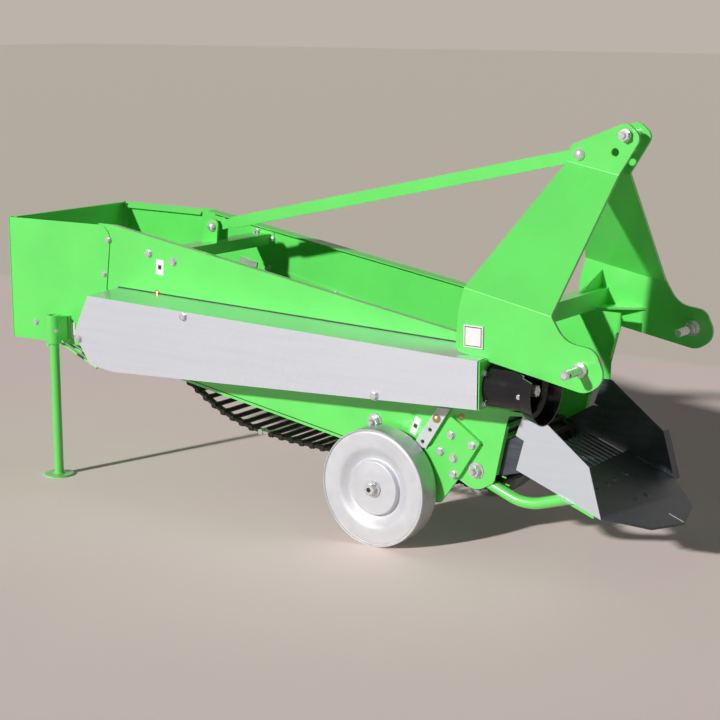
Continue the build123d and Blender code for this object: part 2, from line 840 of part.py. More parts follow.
# ---- share -------------------------------------------------------------------------------
def share_floor():
    """Pointed digging plate, seen from above as (x, y), laid on the falling share plane."""
    plan = [
        (share_rear_x, -share_half),
        (share_corner_x, -share_half),
        (share_nose_x, -share_nose_half),
        (share_tip_x, 0),
        (share_nose_x, share_nose_half),
        (share_corner_x, share_half),
        (share_rear_x, share_half),
    ]
    prism = extrude(make_face(Polyline(*plan, close=True)), amount=600.0)
    slab_points = [
        (share_rear_x - 50.0, share_top(share_rear_x - 50.0)),
        (share_tip_x + 50.0, share_top(share_tip_x + 50.0)),
        (share_tip_x + 50.0, share_top(share_tip_x + 50.0) - share_t),
        (share_rear_x - 50.0, share_top(share_rear_x - 50.0) - share_t),
    ]
    slab = side_plate(slab_points, -share_half - 10.0, 2 * share_half + 20.0)
    return prism & slab


wing_outline = [
    (474.0, wing_top_z),
    (503.0, wing_top_z),
    (wing_front_x, wing_front_z),
    (share_corner_x, share_top(share_corner_x) - share_t),
    (447.0, share_top(447.0) - share_t),
    (472.0, 390.0),
    (443.0, 402.0),
]


def share_arm():
    """Plate that hangs the share's side from the roller shaft, with its ring."""
    x, z = front_roller_x, front_roller_z
    points = [
        (x - 38.0, z - 30.0),
        (x - 14.0, z + 34.0),
        (arm_front_x - 38.0, arm_top_z),
        (arm_front_x, arm_top_z),
        (arm_front_x, share_top(arm_front_x)),
        (x + 30.0, z - 22.0),
    ]
    plate = side_plate(points, -share_half, wing_t, [20.0, 16.0, 8.0, 0, 0, 20.0])
    ring = rod_y(arm_ring_r, x, z, -channel_half, -share_half)
    return plate + ring - rod_y(web_shaft_r + run_fit, x, z, -channel_half - 1, -share_half + wing_t + 1)


def share_wing():
    """Side plate of the share, on the plate that hangs it from the cheek."""
    return side_plate(wing_outline, -share_half - wing_t, wing_t) + share_arm()


def wing_flange_left():
    """Deflector strip folded outwards from the front edge of the left wing."""
    low_z = share_top(share_corner_x) - share_t
    points = [
        (wing_front_x, wing_front_z),
        (share_corner_x, low_z),
        (share_corner_x - wing_t, low_z),
        (wing_front_x - wing_t, wing_front_z),
    ]
    return side_plate(points, share_half, wing_flange)


def fingers():
    """Flat bars behind the share that carry the crop on to the web."""
    cross = side_plate(
        [
            (share_rear_x - 24.0, share_top(share_rear_x - 24.0)),
            (share_rear_x, share_top(share_rear_x)),
            (share_rear_x, share_top(share_rear_x) - share_t),
            (share_rear_x - 24.0, share_top(share_rear_x - 24.0) - share_t),
        ],
        -share_half, 2 * share_half,
    )
    bar_points = [
        (finger_rear_x, share_top(finger_rear_x)),
        (share_rear_x - 20.0, share_top(share_rear_x - 20.0)),
        (share_rear_x - 20.0, share_top(share_rear_x - 20.0) - share_t),
        (finger_rear_x, share_top(finger_rear_x) - share_t),
    ]
    first_y = -(finger_count - 1) * finger_pitch / 2
    for index in range(finger_count):
        y = first_y + index * finger_pitch
        cross += side_plate(bar_points, y - finger_w / 2, finger_w)
    return cross


def skid():
    """Bent tube under the wing that meets a flat bar below the share."""
    y = -share_half - wing_t
    path = FilletPolyline(*skid_path, radius=skid_bend_r)
    wire = Plane.XZ.offset(-y) * path
    start = Plane(origin=wire @ 0, z_dir=wire % 0)
    tube = sweep(start * Circle(skid_r), path=wire)
    high = share_top(skid_bar_rear_x) - share_t
    low = share_top(skid_bar_front_x) - share_t
    bar_points = [
        (skid_bar_rear_x, high),
        (skid_bar_front_x, low),
        (skid_bar_front_x, low - skid_bar_t),
        (skid_bar_rear_x, high - skid_bar_t),
    ]
    bar = side_plate(bar_points, -share_half - wing_t, skid_bar_wide)
    above_share = [
        (arm_front_x, share_top(arm_front_x) - share_t),
        (share_corner_x, share_top(share_corner_x) - share_t),
        (share_corner_x, share_top(arm_front_x)),
    ]
    tube -= side_plate(above_share, y - 2 * skid_r, 4 * skid_r)
    return tube + bar


nodes["share_floor"] = share_floor()
nodes["share_fingers"] = fingers()
both_sides("share_wing", share_wing())
nodes["share_wing_left"] = nodes["share_wing_left"] + wing_flange_left()
both_sides("share_skid", skid())

# ---- wheels ------------------------------------------------------------------------------
arm_outline = [
    (235.0, 441.0), (341.0, 371.0), (262.0, 246.0), (196.0, 155.0),
    (20.0, 140.0), (-38.0, 160.0), (-38.0, 220.0), (10.0, 242.0), (120.0, 310.0), (174.0, 342.0),
]
carrier_outline = [(235.0, 441.0), (341.0, 371.0), (262.0, 246.0), (174.0, 342.0)]
strap_outline = [(186.0, 461.0), (231.0, 463.0), (144.0, 324.0), (98.0, 330.0)]
strap_holes = [(160.0, 387.0), (133.0, 345.0)]
strap_hole_r = 7.0
strap_bolt = (184.0, 426.0)
strap_boss_r = 12.0


def axle():
    """Stub axle welded to the arm, with a shoulder, a washer and a free end."""
    stub = rod_y(axle_r, 0, wheel_z, -wheel_out_y - 18.0, -arm_y)
    shoulder = rod_y(hub_r, 0, wheel_z, -wheel_in_y + end_play, -arm_y)
    washer_y = wheel_out_y - wheel_dish_in + end_play
    washer = rod_y(washer_r, 0, wheel_z, -washer_y - washer_t, -washer_y)
    return stub + shoulder + washer


def wheel_arm():
    """Plates on the outside of the cheek with the stub axle welded on."""
    radii = [6.0, 6.0, 6.0, 12.0, 30.0, 28.0, 28.0, 20.0, 10.0, 6.0]
    plate = side_plate(arm_outline, -arm_y, arm_t, radii)
    return plate + side_plate(carrier_outline, -carrier_y, carrier_t, 6.0) + axle()


def wheel_strap():
    """Drilled strap that sets the working depth."""
    strap = side_plate(strap_outline, -carrier_y, strap_t)
    for x, z in strap_holes:
        strap -= rod_y(strap_hole_r, x, z, -carrier_y - 1, -panel_y)
    x, z = strap_bolt
    return strap + rod_y(strap_boss_r, x, z, -carrier_y, -panel_y)


# radius and depth behind the wheel's outer face
dish_profile = [
    (wheel_r - wheel_sheet, 3.0),
    (0.66 * wheel_r, 5.0),
    (0.60 * wheel_r, 20.0),
    (0.53 * wheel_r, 21.0),
    (0.46 * wheel_r, wheel_dish_in),
    (axle_r + run_fit, wheel_dish_in),
]


def wheel():
    """Sheet drum wheel: rim, pressed face and hub tube, turned about the axle."""
    back = [(radius, depth + wheel_sheet) for radius, depth in reversed(dish_profile)]
    face = make_face(Polyline(*dish_profile, *back, close=True))
    disc = revolve(face, axis=Axis.Y)
    rim = Rot(90, 0, 0) * (Cylinder(wheel_r, wheel_width) - Cylinder(wheel_r - wheel_sheet, wheel_width + 2))
    rim = Pos(0, wheel_width / 2, 0) * rim
    lip = Rot(90, 0, 0) * (Cylinder(wheel_r - wheel_sheet / 2, 8.0) - Cylinder(wheel_r - 12.0, 10.0))
    inner_lip = Pos(0, wheel_width - 4.0, 0) * lip
    hub_length = wheel_width - wheel_dish_in
    hub = Rot(90, 0, 0) * (Cylinder(hub_r, hub_length) - Cylinder(axle_r + run_fit, hub_length + 2))
    hub = Pos(0, wheel_dish_in + hub_length / 2, 0) * hub
    return Pos(0, -wheel_out_y, wheel_z) * (disc + rim + inner_lip + hub)


both_sides("wheel_arm", wheel_arm())
both_sides("wheel_strap", wheel_strap())
both_sides("wheel", wheel())


# ---- parking stand -----------------------------------------------------------------------
def stand_sleeve():
    """Sleeve that guides the leg, on a bracket against the box."""
    ring = rod_z(sleeve_r, stand_x, stand_y, sleeve_bottom_z, sleeve_top_z)
    low = sleeve_bottom_z + 12.0
    high = sleeve_top_z - 8.0
    arm = block(stand_x - 22.0, stand_x + 22.0, stand_y, -panel_y, low, high)
    along = (stand_x - box_front_x) / math.cos(math.radians(box_side_turn))
    pad = block(along - pad_half, along + pad_half, -10.0, 0, low - box_bottom_z, high - box_bottom_z)
    inside = block(-box_top_z, box_top_z, 0, box_top_z, -box_top_z, box_top_z)
    body = ring + arm + box_side_place * pad - box_side_place * inside
    return body - rod_z(leg_r + run_fit, stand_x, stand_y, sleeve_bottom_z - 5, sleeve_top_z + 5)


def stand_leg():
    """Round leg with a flat foot."""
    tube = rod_z(leg_r, stand_x, stand_y, foot_t, leg_top_z)
    tube -= rod_z(leg_r - leg_wall, stand_x, stand_y, foot_t + 5.0, leg_top_z + 5)
    return tube + rod_z(foot_r, stand_x, stand_y, 0, foot_t)


nodes["stand_sleeve"] = stand_sleeve()
nodes["stand_leg"] = stand_leg()

# ---- export ------------------------------------------------------------------------------
os.makedirs("parts", exist_ok=True)
for name, shape in nodes.items():
    export_step(Pos(-origin_x, 0, 0) * shape, "parts/" + name + ".step")
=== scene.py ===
"""Potato digger: finishes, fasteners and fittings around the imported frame. Metres, +X to the tractor."""

import math

import bmesh
import bpy
from bpy.props import FloatProperty, FloatVectorProperty, PointerProperty
from mathutils import Matrix, Vector


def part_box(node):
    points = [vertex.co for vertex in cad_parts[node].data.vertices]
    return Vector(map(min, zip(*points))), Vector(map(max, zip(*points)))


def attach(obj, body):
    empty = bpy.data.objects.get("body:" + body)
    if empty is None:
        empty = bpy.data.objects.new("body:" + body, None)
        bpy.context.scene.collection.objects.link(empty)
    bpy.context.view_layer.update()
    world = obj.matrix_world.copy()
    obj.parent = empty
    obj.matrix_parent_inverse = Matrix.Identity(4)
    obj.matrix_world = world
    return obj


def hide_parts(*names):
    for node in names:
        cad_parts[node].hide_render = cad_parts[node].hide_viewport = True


bl_info = {
    "name": "Potato digger",
    "version": (1, 0, 0),
    "blender": (4, 5, 0),
    "location": "3D Viewport > Sidebar > Digger",
    "description": "Dresses the packed frame of a single-row potato digger",
    "category": "Object",
}

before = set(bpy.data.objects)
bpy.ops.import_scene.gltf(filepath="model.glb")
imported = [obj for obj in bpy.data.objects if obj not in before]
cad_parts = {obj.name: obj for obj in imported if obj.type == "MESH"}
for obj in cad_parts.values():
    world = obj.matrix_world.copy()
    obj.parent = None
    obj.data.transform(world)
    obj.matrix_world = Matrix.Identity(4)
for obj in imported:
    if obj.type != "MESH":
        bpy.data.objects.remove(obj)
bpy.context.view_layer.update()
RIGHT = Vector((0, -1, 0))       # out of the machine on the drive side
LEFT = Vector((0, 1, 0))
FORWARD = Vector((1, 0, 0))


def low(node):
    """Lowest corner of a node of the frame."""
    return Vector(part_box(node)[0])


def high(node):
    """Highest corner of a node of the frame."""
    return Vector(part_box(node)[1])


# ---- shader groups -----------------------------------------------------------------------
class Group:
    """A node group under construction, with short ways to add and join its nodes."""

    def __init__(self, name, inputs, outputs):
        self.tree = bpy.data.node_groups.new(name, "ShaderNodeTree")
        for label, default in inputs:
            socket = self.tree.interface.new_socket(label, in_out="INPUT", socket_type="NodeSocketFloat")
            socket.default_value = default
        for label, kind in outputs:
            self.tree.interface.new_socket(label, in_out="OUTPUT", socket_type=kind)
        self.given = self.tree.nodes.new("NodeGroupInput").outputs
        self.result = self.tree.nodes.new("NodeGroupOutput").inputs
        self.place = self.tree.nodes.new("ShaderNodeTexCoord").outputs["Object"]

    def node(self, kind, links=None, **settings):
        """Add a node; links maps its inputs to values or to other sockets."""
        return add_node(self.tree, kind, links, **settings)

    def math(self, operation, *values):
        """Result of a math node."""
        return self.node("ShaderNodeMath", dict(enumerate(values)), operation=operation).outputs[0]

    def vector_math(self, operation, *values, **named):
        """Result of a vector math node."""
        links = {**dict(enumerate(values)), **named}
        return self.node("ShaderNodeVectorMath", links, operation=operation).outputs[0]

    def noise(self, vector, scale, detail, roughness=0.5):
        """Noise over the given coordinates."""
        links = {"Vector": vector, "Scale": scale, "Detail": detail, "Roughness": roughness}
        return self.node("ShaderNodeTexNoise", links).outputs

    def finish(self, **results):
        """Link the group's outputs and hand over its tree."""
        for label, socket in results.items():
            self.tree.links.new(socket, self.result[label])
        return self.tree


def add_node(tree, kind, links=None, **settings):
    """Add a node to a tree and set or link its inputs."""
    node = tree.nodes.new(kind)
    for key, value in settings.items():
        setattr(node, key, value)
    for key, value in (links or {}).items():
        if isinstance(value, bpy.types.NodeSocket):
            tree.links.new(value, node.inputs[key])
        else:
            node.inputs[key].default_value = value
    return node


def build_cloud():
    """Soft uneven tone, as sprayed paint or rolled sheet has."""
    group = Group("Cloud", [("Scale", 6.0), ("Low", 0.35), ("High", 0.65)], [("Mask", "NodeSocketFloat")])
    noise = group.noise(group.place, group.given["Scale"], 4.0, 0.55)
    links = {"Value": noise["Fac"], "From Min": group.given["Low"], "From Max": group.given["High"]}
    return group.finish(Mask=group.node("ShaderNodeMapRange", links).outputs["Result"])


def build_skin():
    """Fine relief of a surface, such as sprayed paint or moulded plastic."""
    group = Group("Skin", [("Scale", 300.0), ("Depth", 0.0002)], [("Normal", "NodeSocketVector")])
    noise = group.noise(group.place, group.given["Scale"], 2.0)
    links = {"Height": noise["Fac"], "Distance": group.given["Depth"], "Strength": 1.0}
    return group.finish(Normal=group.node("ShaderNodeBump", links).outputs["Normal"])


def build_zinc_flower():
    """Patchwork of zinc crystals, each a little lighter or darker, with unevenly stretched edges."""
    group = Group("Zinc flower", [("Scale", 60.0), ("Contrast", 1.0)], [("Mask", "NodeSocketFloat")])
    scale = group.given["Scale"]
    warp = group.noise(group.place, scale, 1.0)["Color"]
    shift = group.vector_math("SCALE", warp, Scale=0.008)
    uneven = group.vector_math("MULTIPLY_ADD", group.place, warp, shift)
    cells = group.node("ShaderNodeTexVoronoi", {"Vector": uneven, "Scale": scale})
    tone = group.node("ShaderNodeSeparateColor", {"Color": cells.outputs["Color"]})
    centred = group.math("SUBTRACT", tone.outputs["Red"], 0.5)
    return group.finish(Mask=group.math("MULTIPLY_ADD", centred, group.given["Contrast"], 0.5))


def build_dust():
    """Dry dust that thins out with height above the ground."""
    group = Group("Dust", [("Height", 0.35), ("Amount", 0.4)], [("Mask", "NodeSocketFloat")])
    split = group.node("ShaderNodeSeparateXYZ", {"Vector": group.place})
    near = group.node(
        "ShaderNodeMapRange",
        {"Value": split.outputs["Z"], "From Max": group.given["Height"], "To Min": 1.0, "To Max": 0.0},
    )
    noise = group.noise(group.place, 14.0, 6.0)
    patch = group.math("MULTIPLY", near.outputs["Result"], noise["Fac"])
    return group.finish(Mask=group.math("MULTIPLY", patch, group.given["Amount"]))


def build_streaks():
    """Long fine scratches along X, as bending, sliding and wear leave on steel."""
    group = Group("Streaks", [("Scale", 90.0), ("Length", 0.05)], [("Mask", "NodeSocketFloat")])
    stretch = group.node("ShaderNodeCombineXYZ", {"X": group.given["Length"], "Y": 1.0, "Z": 1.0})
    along = group.vector_math("MULTIPLY", group.place, stretch.outputs[0])
    return group.finish(Mask=group.noise(along, group.given["Scale"], 3.0, 0.6)["Fac"])


EFFECTS = {
    "cloud": build_cloud,
    "skin": build_skin,
    "zinc_flower": build_zinc_flower,
    "dust": build_dust,
    "streaks": build_streaks,
}
built_effects = {}


def effect(tree, name, **values):
    """Place a shared effect in a material with its own values."""
    if name not in built_effects:
        built_effects[name] = EFFECTS[name]()
    node = tree.nodes.new("ShaderNodeGroup")
    node.node_tree = built_effects[name]
    for label, value in values.items():
        node.inputs[label].default_value = value
    return node.outputs[0]


# ---- materials ---------------------------------------------------------------------------
def blend_colours(tree, mask, first, second):
    """Colour that goes from first to second as the mask rises."""
    mix = tree.nodes.new("ShaderNodeMix")
    mix.data_type = "RGBA"
    tree.links.new(mask, mix.inputs["Factor"])
    for socket, value in ((mix.inputs[6], first), (mix.inputs[7], second)):
        if isinstance(value, bpy.types.NodeSocket):
            tree.links.new(value, socket)
        else:
            socket.default_value = (*value, 1.0)
    return mix.outputs[2]


def rescale(tree, mask, at_zero, at_one):
    """Value that goes from at_zero to at_one as the mask rises."""
    node = add_node(tree, "ShaderNodeMapRange", {"Value": mask, "To Min": at_zero, "To Max": at_one})
    return node.outputs["Result"]


def start_material(name, **constants):
    """Material with its Principled shader; constants go on the shader's own sockets."""
    material = bpy.data.materials.new(name)
    material.use_nodes = True
    shader = material.node_tree.nodes["Principled BSDF"]
    for label, value in constants.items():
        shader.inputs[label.replace("_", " ")].default_value = value
    return material, material.node_tree, shader


def shade(colour, factor):
    """Lighter or darker version of a colour."""
    return tuple(min(1.0, channel * factor) for channel in colour)


def two_tone(tree, mask, colour, dark, light):
    """Colour that goes from a darker to a lighter shade of itself as the mask rises."""
    return blend_colours(tree, mask, shade(colour, dark), shade(colour, light))


def surface(tree, shader, colour, mask, rough, skin=None):
    """Give a shader its colour, a roughness that follows a mask, and a relief as (scale, depth)."""
    tree.links.new(colour, shader.inputs["Base Color"])
    tree.links.new(rescale(tree, mask, *rough), shader.inputs["Roughness"])
    if skin:
        relief = effect(tree, "skin", Scale=skin[0], Depth=skin[1])
        tree.links.new(relief, shader.inputs["Normal"])


def green_paint(look):
    """Gloss enamel, a little uneven, with dust near the ground."""
    material, tree, shader = start_material(
        "green paint", Coat_Weight=1.0, Coat_Roughness=0.28, Specular_IOR_Level=0.4
    )
    cloud = effect(tree, "cloud", Scale=3.5)
    tone = two_tone(tree, cloud, look.paint, 0.93, 1.04)
    dusty = blend_colours(tree, effect(tree, "dust", Height=0.45, Amount=0.22), tone, look.dust)
    gloss = effect(tree, "cloud", Scale=22.0, Low=0.3, High=0.7)
    surface(tree, shader, dusty, gloss, (0.3, 0.4), (260.0, 0.00012))
    return material


def galvanised(look, name, factor=1.0, metallic=0.5, rough=(0.36, 0.52), flower=0.35):
    """Hot-dip zinc on sheet: crystals, rolling streaks and a soft metal sheen."""
    material, tree, shader = start_material(name, Metallic=metallic, Specular_IOR_Level=0.5)
    zinc = shade(look.zinc, factor)
    crystals = effect(tree, "zinc_flower", Scale=48.0, Contrast=flower)
    tone = two_tone(tree, crystals, zinc, 0.9, 1.08)
    streaks = effect(tree, "streaks", Scale=60.0, Length=0.04)
    worn = blend_colours(tree, rescale(tree, streaks, -0.25, 0.35), tone, shade(zinc, 0.8))
    surface(tree, shader, worn, crystals, rough, (120.0, 0.0001))
    return material


def wheel_zinc(look):
    """Sprayed zinc on the wheels: near white, matt, dusty where it rolls."""
    material, tree, shader = start_material("wheel zinc", Metallic=0.25)
    cloud = effect(tree, "cloud", Scale=9.0)
    tone = two_tone(tree, cloud, look.wheel, 0.93, 1.05)
    dusty = blend_colours(tree, effect(tree, "dust", Height=0.12, Amount=0.5), tone, look.dust)
    surface(tree, shader, dusty, effect(tree, "cloud", Scale=40.0), (0.38, 0.55), (180.0, 0.00015))
    return material


def tread_zinc(look):
    """Zinc of the drum, polished by the ground and streaked round it."""
    material, tree, shader = start_material("wheel tread", Metallic=0.7)
    worn = effect(tree, "streaks", Scale=70.0, Length=0.5)
    tone = two_tone(tree, worn, look.wheel, 0.6, 0.95)
    dusty = blend_colours(tree, effect(tree, "dust", Height=0.1, Amount=0.6), tone, look.dust)
    surface(tree, shader, dusty, worn, (0.32, 0.5), (90.0, 0.0003))
    return material


def plain_steel(name, colour, metallic, rough, skin=0.00015, wear=1.5):
    """Bare or dark steel with streaks that are brighter where it is worn."""
    material, tree, shader = start_material(name, Metallic=metallic)
    streaks = effect(tree, "streaks", Scale=110.0, Length=0.12)
    tone = two_tone(tree, rescale(tree, streaks, -0.3, 1.1), colour, 0.75, wear)
    surface(tree, shader, tone, streaks, rough, (150.0, skin))
    return material


def black_plastic(look):
    """Blow-moulded plastic with a fine grain."""
    material, tree, shader = start_material("black plastic", Specular_IOR_Level=0.4)
    cloud = effect(tree, "cloud", Scale=30.0)
    tone = two_tone(tree, cloud, look.plastic, 0.8, 1.3)
    surface(tree, shader, tone, cloud, (0.1, 0.16), (420.0, 0.00012))
    return material


def label_film(look):
    """White plastic film of the blank labels."""
    material, tree, shader = start_material("label film", Specular_IOR_Level=0.5)
    cloud = effect(tree, "cloud", Scale=45.0)
    tone = two_tone(tree, cloud, look.label, 0.93, 1.0)
    surface(tree, shader, tone, cloud, (0.3, 0.42))
    return material


def camera_or_glossy(tree):
    """Mask that is one for what the camera sees itself or in a gloss."""
    path = tree.nodes.new("ShaderNodeLightPath").outputs
    links = {0: path["Is Camera Ray"], 1: path["Is Glossy Ray"]}
    return add_node(tree, "ShaderNodeMath", links, operation="MAXIMUM").outputs[0]


def floor_finish(look):
    """Plain pale floor that turns into the tone of the wall past the foot of the wall."""
    material, tree, shader = start_material("floor", Roughness=0.85, Specular_IOR_Level=0.15)
    cloud = effect(tree, "cloud", Scale=0.6)
    near = two_tone(tree, cloud, look.floor, 0.98, 1.01)
    place = tree.nodes.new("ShaderNodeTexCoord").outputs["Object"]
    split = add_node(tree, "ShaderNodeSeparateXYZ", {"Vector": place})
    wall_foot = bpy.context.scene.digger_stage.wall_foot
    links = {"Value": split.outputs["Y"], "From Min": wall_foot, "From Max": wall_foot + 0.1}
    past = add_node(tree, "ShaderNodeMapRange", links)
    tone = blend_colours(tree, past.outputs["Result"], near, look.wall_foot)
    tree.links.new(tone, shader.inputs["Base Color"])
    links = {0: camera_or_glossy(tree), 1: look.floor_lift}
    lift = add_node(tree, "ShaderNodeMath", links, operation="MULTIPLY")
    tree.links.new(lift.outputs[0], shader.inputs["Emission Strength"])
    shader.inputs["Emission Color"].default_value = (*look.floor, 1.0)
    return material


MATERIALS = {
    "green": green_paint,
    "cover_zinc": lambda look: galvanised(look, "galvanised cover"),
    "cover_roof": lambda look: galvanised(look, "galvanised cover roof", 1.0, 0.85, (0.2, 0.3), 0.2),
    "share_zinc": lambda look: galvanised(look, "galvanised share side", 0.85, 0.45, (0.4, 0.55), 0.2),
    "wheel_zinc": wheel_zinc,
    "wheel_tread": tread_zinc,
    "share_steel": lambda look: plain_steel("share steel", look.share, 0.6, (0.32, 0.5)),
    "web_steel": lambda look: plain_steel("web steel", look.web, 0.7, (0.4, 0.6), 0.0003),
    "zinc_bolt": lambda look: plain_steel("bright zinc", look.bolt, 0.6, (0.2, 0.34), 0.00008, 1.1),
    "joiner": lambda look: plain_steel("joiner links", look.joiner, 0.5, (0.35, 0.5), 0.0001, 1.2),
    "brass_bolt": lambda look: plain_steel("yellow zinc", look.brass, 0.8, (0.3, 0.45), 0.00008, 1.1),
    "plastic": black_plastic,
    "label": label_film,
    # dark print on the labels and plate, and painted shade: the dark sockets and holes, and the shadow
    # lines under the panel's hem and the cover's roof
    "mark": lambda look: plain_steel("dark print and painted shade", look.mark, 0.0, (0.4, 0.5), 0.00002, 1.1),
    "floor": floor_finish,
}
made_materials = {}


def material(name):
    """Material by name, made once."""
    if name not in made_materials:
        made_materials[name] = MATERIALS[name](bpy.context.scene.digger_look)
    return made_materials[name]


# ---- mesh helpers ------------------------------------------------------------------------
def new_object(name, data):
    """Object in the scene that holds a mesh, a light or a camera."""
    made = bpy.data.objects.new(name, data)
    bpy.context.scene.collection.objects.link(made)
    return made


def to_mesh(name, mesh_data):
    """Mesh from a bmesh, which is used up."""
    mesh = bpy.data.meshes.new(name)
    mesh_data.to_mesh(mesh)
    mesh_data.free()
    return mesh


def finish_piece(name, mesh_data, materials, body="frame", sharp=32.0):
    """Make an object from a bmesh: merged, normals out, smooth but for its sharp edges."""
    bmesh.ops.remove_doubles(mesh_data, verts=mesh_data.verts, dist=1e-6)
    bmesh.ops.recalc_face_normals(mesh_data, faces=mesh_data.faces)
    for face in mesh_data.faces:
        face.smooth = True
    limit = math.radians(sharp)
    for edge in mesh_data.edges:
        edge.smooth = len(edge.link_faces) == 2 and edge.calc_face_angle(0.0) < limit
    piece = new_object(name, to_mesh(name, mesh_data))
    for label in materials:
        piece.data.materials.append(material(label))
    piece.modifiers.new("Face weight", "WEIGHTED_NORMAL").keep_sharp = True
    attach(piece, body)
    return piece


def stand_in(node, ending, mesh_data, materials, body="frame", sharp=32.0):
    """Make a piece that stands for a node of the frame."""
    piece = finish_piece(node + ending, mesh_data, materials, body, sharp)
    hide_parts(node)


def two_faced(mesh_data, low_angle, high_angle, shortest=0.0):
    """Edges between two faces that meet at an angle within limits, given in degrees."""
    return [
        edge
        for edge in mesh_data.edges
        if len(edge.link_faces) == 2
        and math.radians(low_angle) < edge.calc_face_angle(0.0) < math.radians(high_angle)
        and edge.calc_length() > shortest
    ]


def round_edges(mesh_data, edges, size, segments=2):
    """Round edges by a bevel that never runs over its neighbours."""
    bmesh.ops.bevel(
        mesh_data, geom=edges, offset=size, segments=segments, profile=0.5, affect="EDGES",
        clamp_overlap=True, material=-1,
    )


def dress(node, finishes, edge=0.0, pick=None, bend=0.0):
    """Rounded, smooth-shaded copy of a node that stands for it.

    pick gives a face's place in the list of finishes; bend rounds the folds of thick plate.
    """
    copy = bmesh.new()
    copy.from_mesh(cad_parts[node].data)
    bmesh.ops.remove_doubles(copy, verts=copy.verts, dist=2e-5)
    bmesh.ops.dissolve_limit(
        copy, angle_limit=math.radians(0.3), verts=copy.verts, edges=copy.edges,
        use_dissolve_boundaries=False,
    )
    if pick:
        for face in copy.faces:
            face.material_index = pick(face)
    if bend:
        round_edges(copy, two_faced(copy, 30, 60, 0.1), bend, 4)
    if edge:
        round_edges(copy, two_faced(copy, 40, 181), edge)
    stand_in(node, "_dressed", copy, finishes)


def turned_to(direction, place):
    """Matrix that takes +Z to a direction and the origin to a place."""
    turn = Vector(direction).to_track_quat("Z", "Y").to_matrix().to_4x4()
    return Matrix.Translation(place) @ turn


def leaning(place, lean):
    """Matrix of a piece that lies on a side face, its height turned forwards by lean degrees."""
    return Matrix.Translation(place) @ Matrix.Rotation(math.radians(lean), 4, "Y")


def pour(mesh_data, part, matrix, material_index=0):
    """Place a small body, give it its finish and add it to a larger mesh."""
    for face in part.faces:
        face.material_index = material_index
    part.transform(matrix)
    mesh = to_mesh("part", part)
    mesh_data.from_mesh(mesh)
    bpy.data.meshes.remove(mesh)


def add_round(mesh_data, profile, steps, matrix=Matrix.Identity(4), material_index=0, ring=False):
    """Round body from (radius, height) points turned about Z, then placed; a ring's profile is closed."""
    part = bmesh.new()
    verts = [part.verts.new((radius, 0.0, z)) for radius, z in profile]
    edges = [part.edges.new(pair) for pair in zip(verts, verts[1:])]
    if ring:
        edges.append(part.edges.new((verts[-1], verts[0])))
    bmesh.ops.spin(
        part, geom=verts + edges, cent=(0, 0, 0), axis=(0, 0, 1), angle=2 * math.pi, steps=steps,
        use_merge=True,
    )
    bmesh.ops.remove_doubles(part, verts=part.verts, dist=1e-7)
    pour(mesh_data, part, matrix, material_index)


def rod(radius, start, end):
    """Profile of a plain round bar between two heights."""
    return [(0, start), (radius, start), (radius, end), (0, end)]


def add_box(mesh_data, size, matrix, edge=0.0, material_index=0):
    """Box with rounded edges, placed by a matrix."""
    part = bmesh.new()
    bmesh.ops.create_cube(part, size=1.0, matrix=Matrix.Diagonal((*size, 1.0)))
    if edge:
        round_edges(part, part.edges[:], edge)
    pour(mesh_data, part, matrix, material_index)


def add_hex(mesh_data, width, height, matrix, material_index=0):
    """Hexagon head or nut with chamfered corners."""
    radius = width / math.sqrt(3)
    part = bmesh.new()
    bmesh.ops.create_cone(
        part, cap_ends=True, segments=6, radius1=radius, radius2=radius, depth=height,
        matrix=Matrix.Translation((0, 0, height / 2)),
    )
    caps = [face for face in part.faces if len(face.verts) == 6]
    round_edges(part, list({link for face in caps for link in face.edges}), height * 0.12)
    pour(mesh_data, part, matrix, material_index)


def add_washer(mesh_data, radius, thick, matrix, material_index=0):
    """Flat washer with a rounded rim."""
    rim = [(0, 0), (radius * 0.98, 0), (radius, thick * 0.4), (radius * 0.96, thick), (0, thick)]
    add_round(mesh_data, rim, 22, matrix, material_index)


def add_thread(mesh_data, radius, long, matrix, material_index=0):
    """Threaded end as a run of fine grooves with a chamfered tip."""
    pitch = 0.0025
    profile = [(0, 0), (radius, 0)]
    for index in range(int((long - radius * 0.3) / pitch)):
        profile.append((radius * 0.93, (index + 0.5) * pitch))
        profile.append((radius, (index + 1.0) * pitch))
    profile += [(radius * 0.72, long), (0, long)]
    add_round(mesh_data, profile, 16, matrix, material_index)


def dome(radius, height):
    """Profile of a domed head, from its rim to its top."""
    steps = 6
    turns = [math.pi / 2 * index / steps for index in range(steps + 1)]
    return [(radius * math.cos(turn), height * math.sin(turn)) for turn in turns]


def add_bolt(mesh_data, place, direction, width, kind="hex", material_index=0, turn=0.0):
    """Fastener on a surface: a hex bolt, a nut on its thread, a wide pivot nut or a domed bolt."""
    matrix = turned_to(direction, place) @ Matrix.Rotation(turn, 4, "Z")
    thick = width * 0.09
    add_washer(mesh_data, width * (0.8 if kind == "pivot" else 0.72), thick, matrix, material_index)
    lifted = matrix @ Matrix.Translation((0, 0, thick))
    if kind == "dome":
        add_round(mesh_data, [(0, 0)] + dome(width * 0.58, width * 0.32), 22, lifted, material_index)
        return
    height = width * (0.42 if kind == "hex" else 0.5)
    add_hex(mesh_data, width, height, lifted, material_index)
    if kind != "hex":
        top = lifted @ Matrix.Translation((0, 0, height))
        add_thread(mesh_data, width * 0.3, width * 0.3, top, material_index=material_index)


def add_weld(mesh_data, start, end, radius, material_index=0):
    """Bead of overlapping ripples along a joint."""
    start, end = Vector(start), Vector(end)
    count = max(2, int((end - start).length / (radius * 1.1)))
    bead = bmesh.new()
    for index in range(count + 1):
        wobble = radius * (1.0 + 0.12 * math.sin(index * 2.4))
        spot = Matrix.Translation(start.lerp(end, index / count))
        bmesh.ops.create_icosphere(bead, subdivisions=1, radius=wobble, matrix=spot)
    pour(mesh_data, bead, Matrix.Identity(4), material_index)


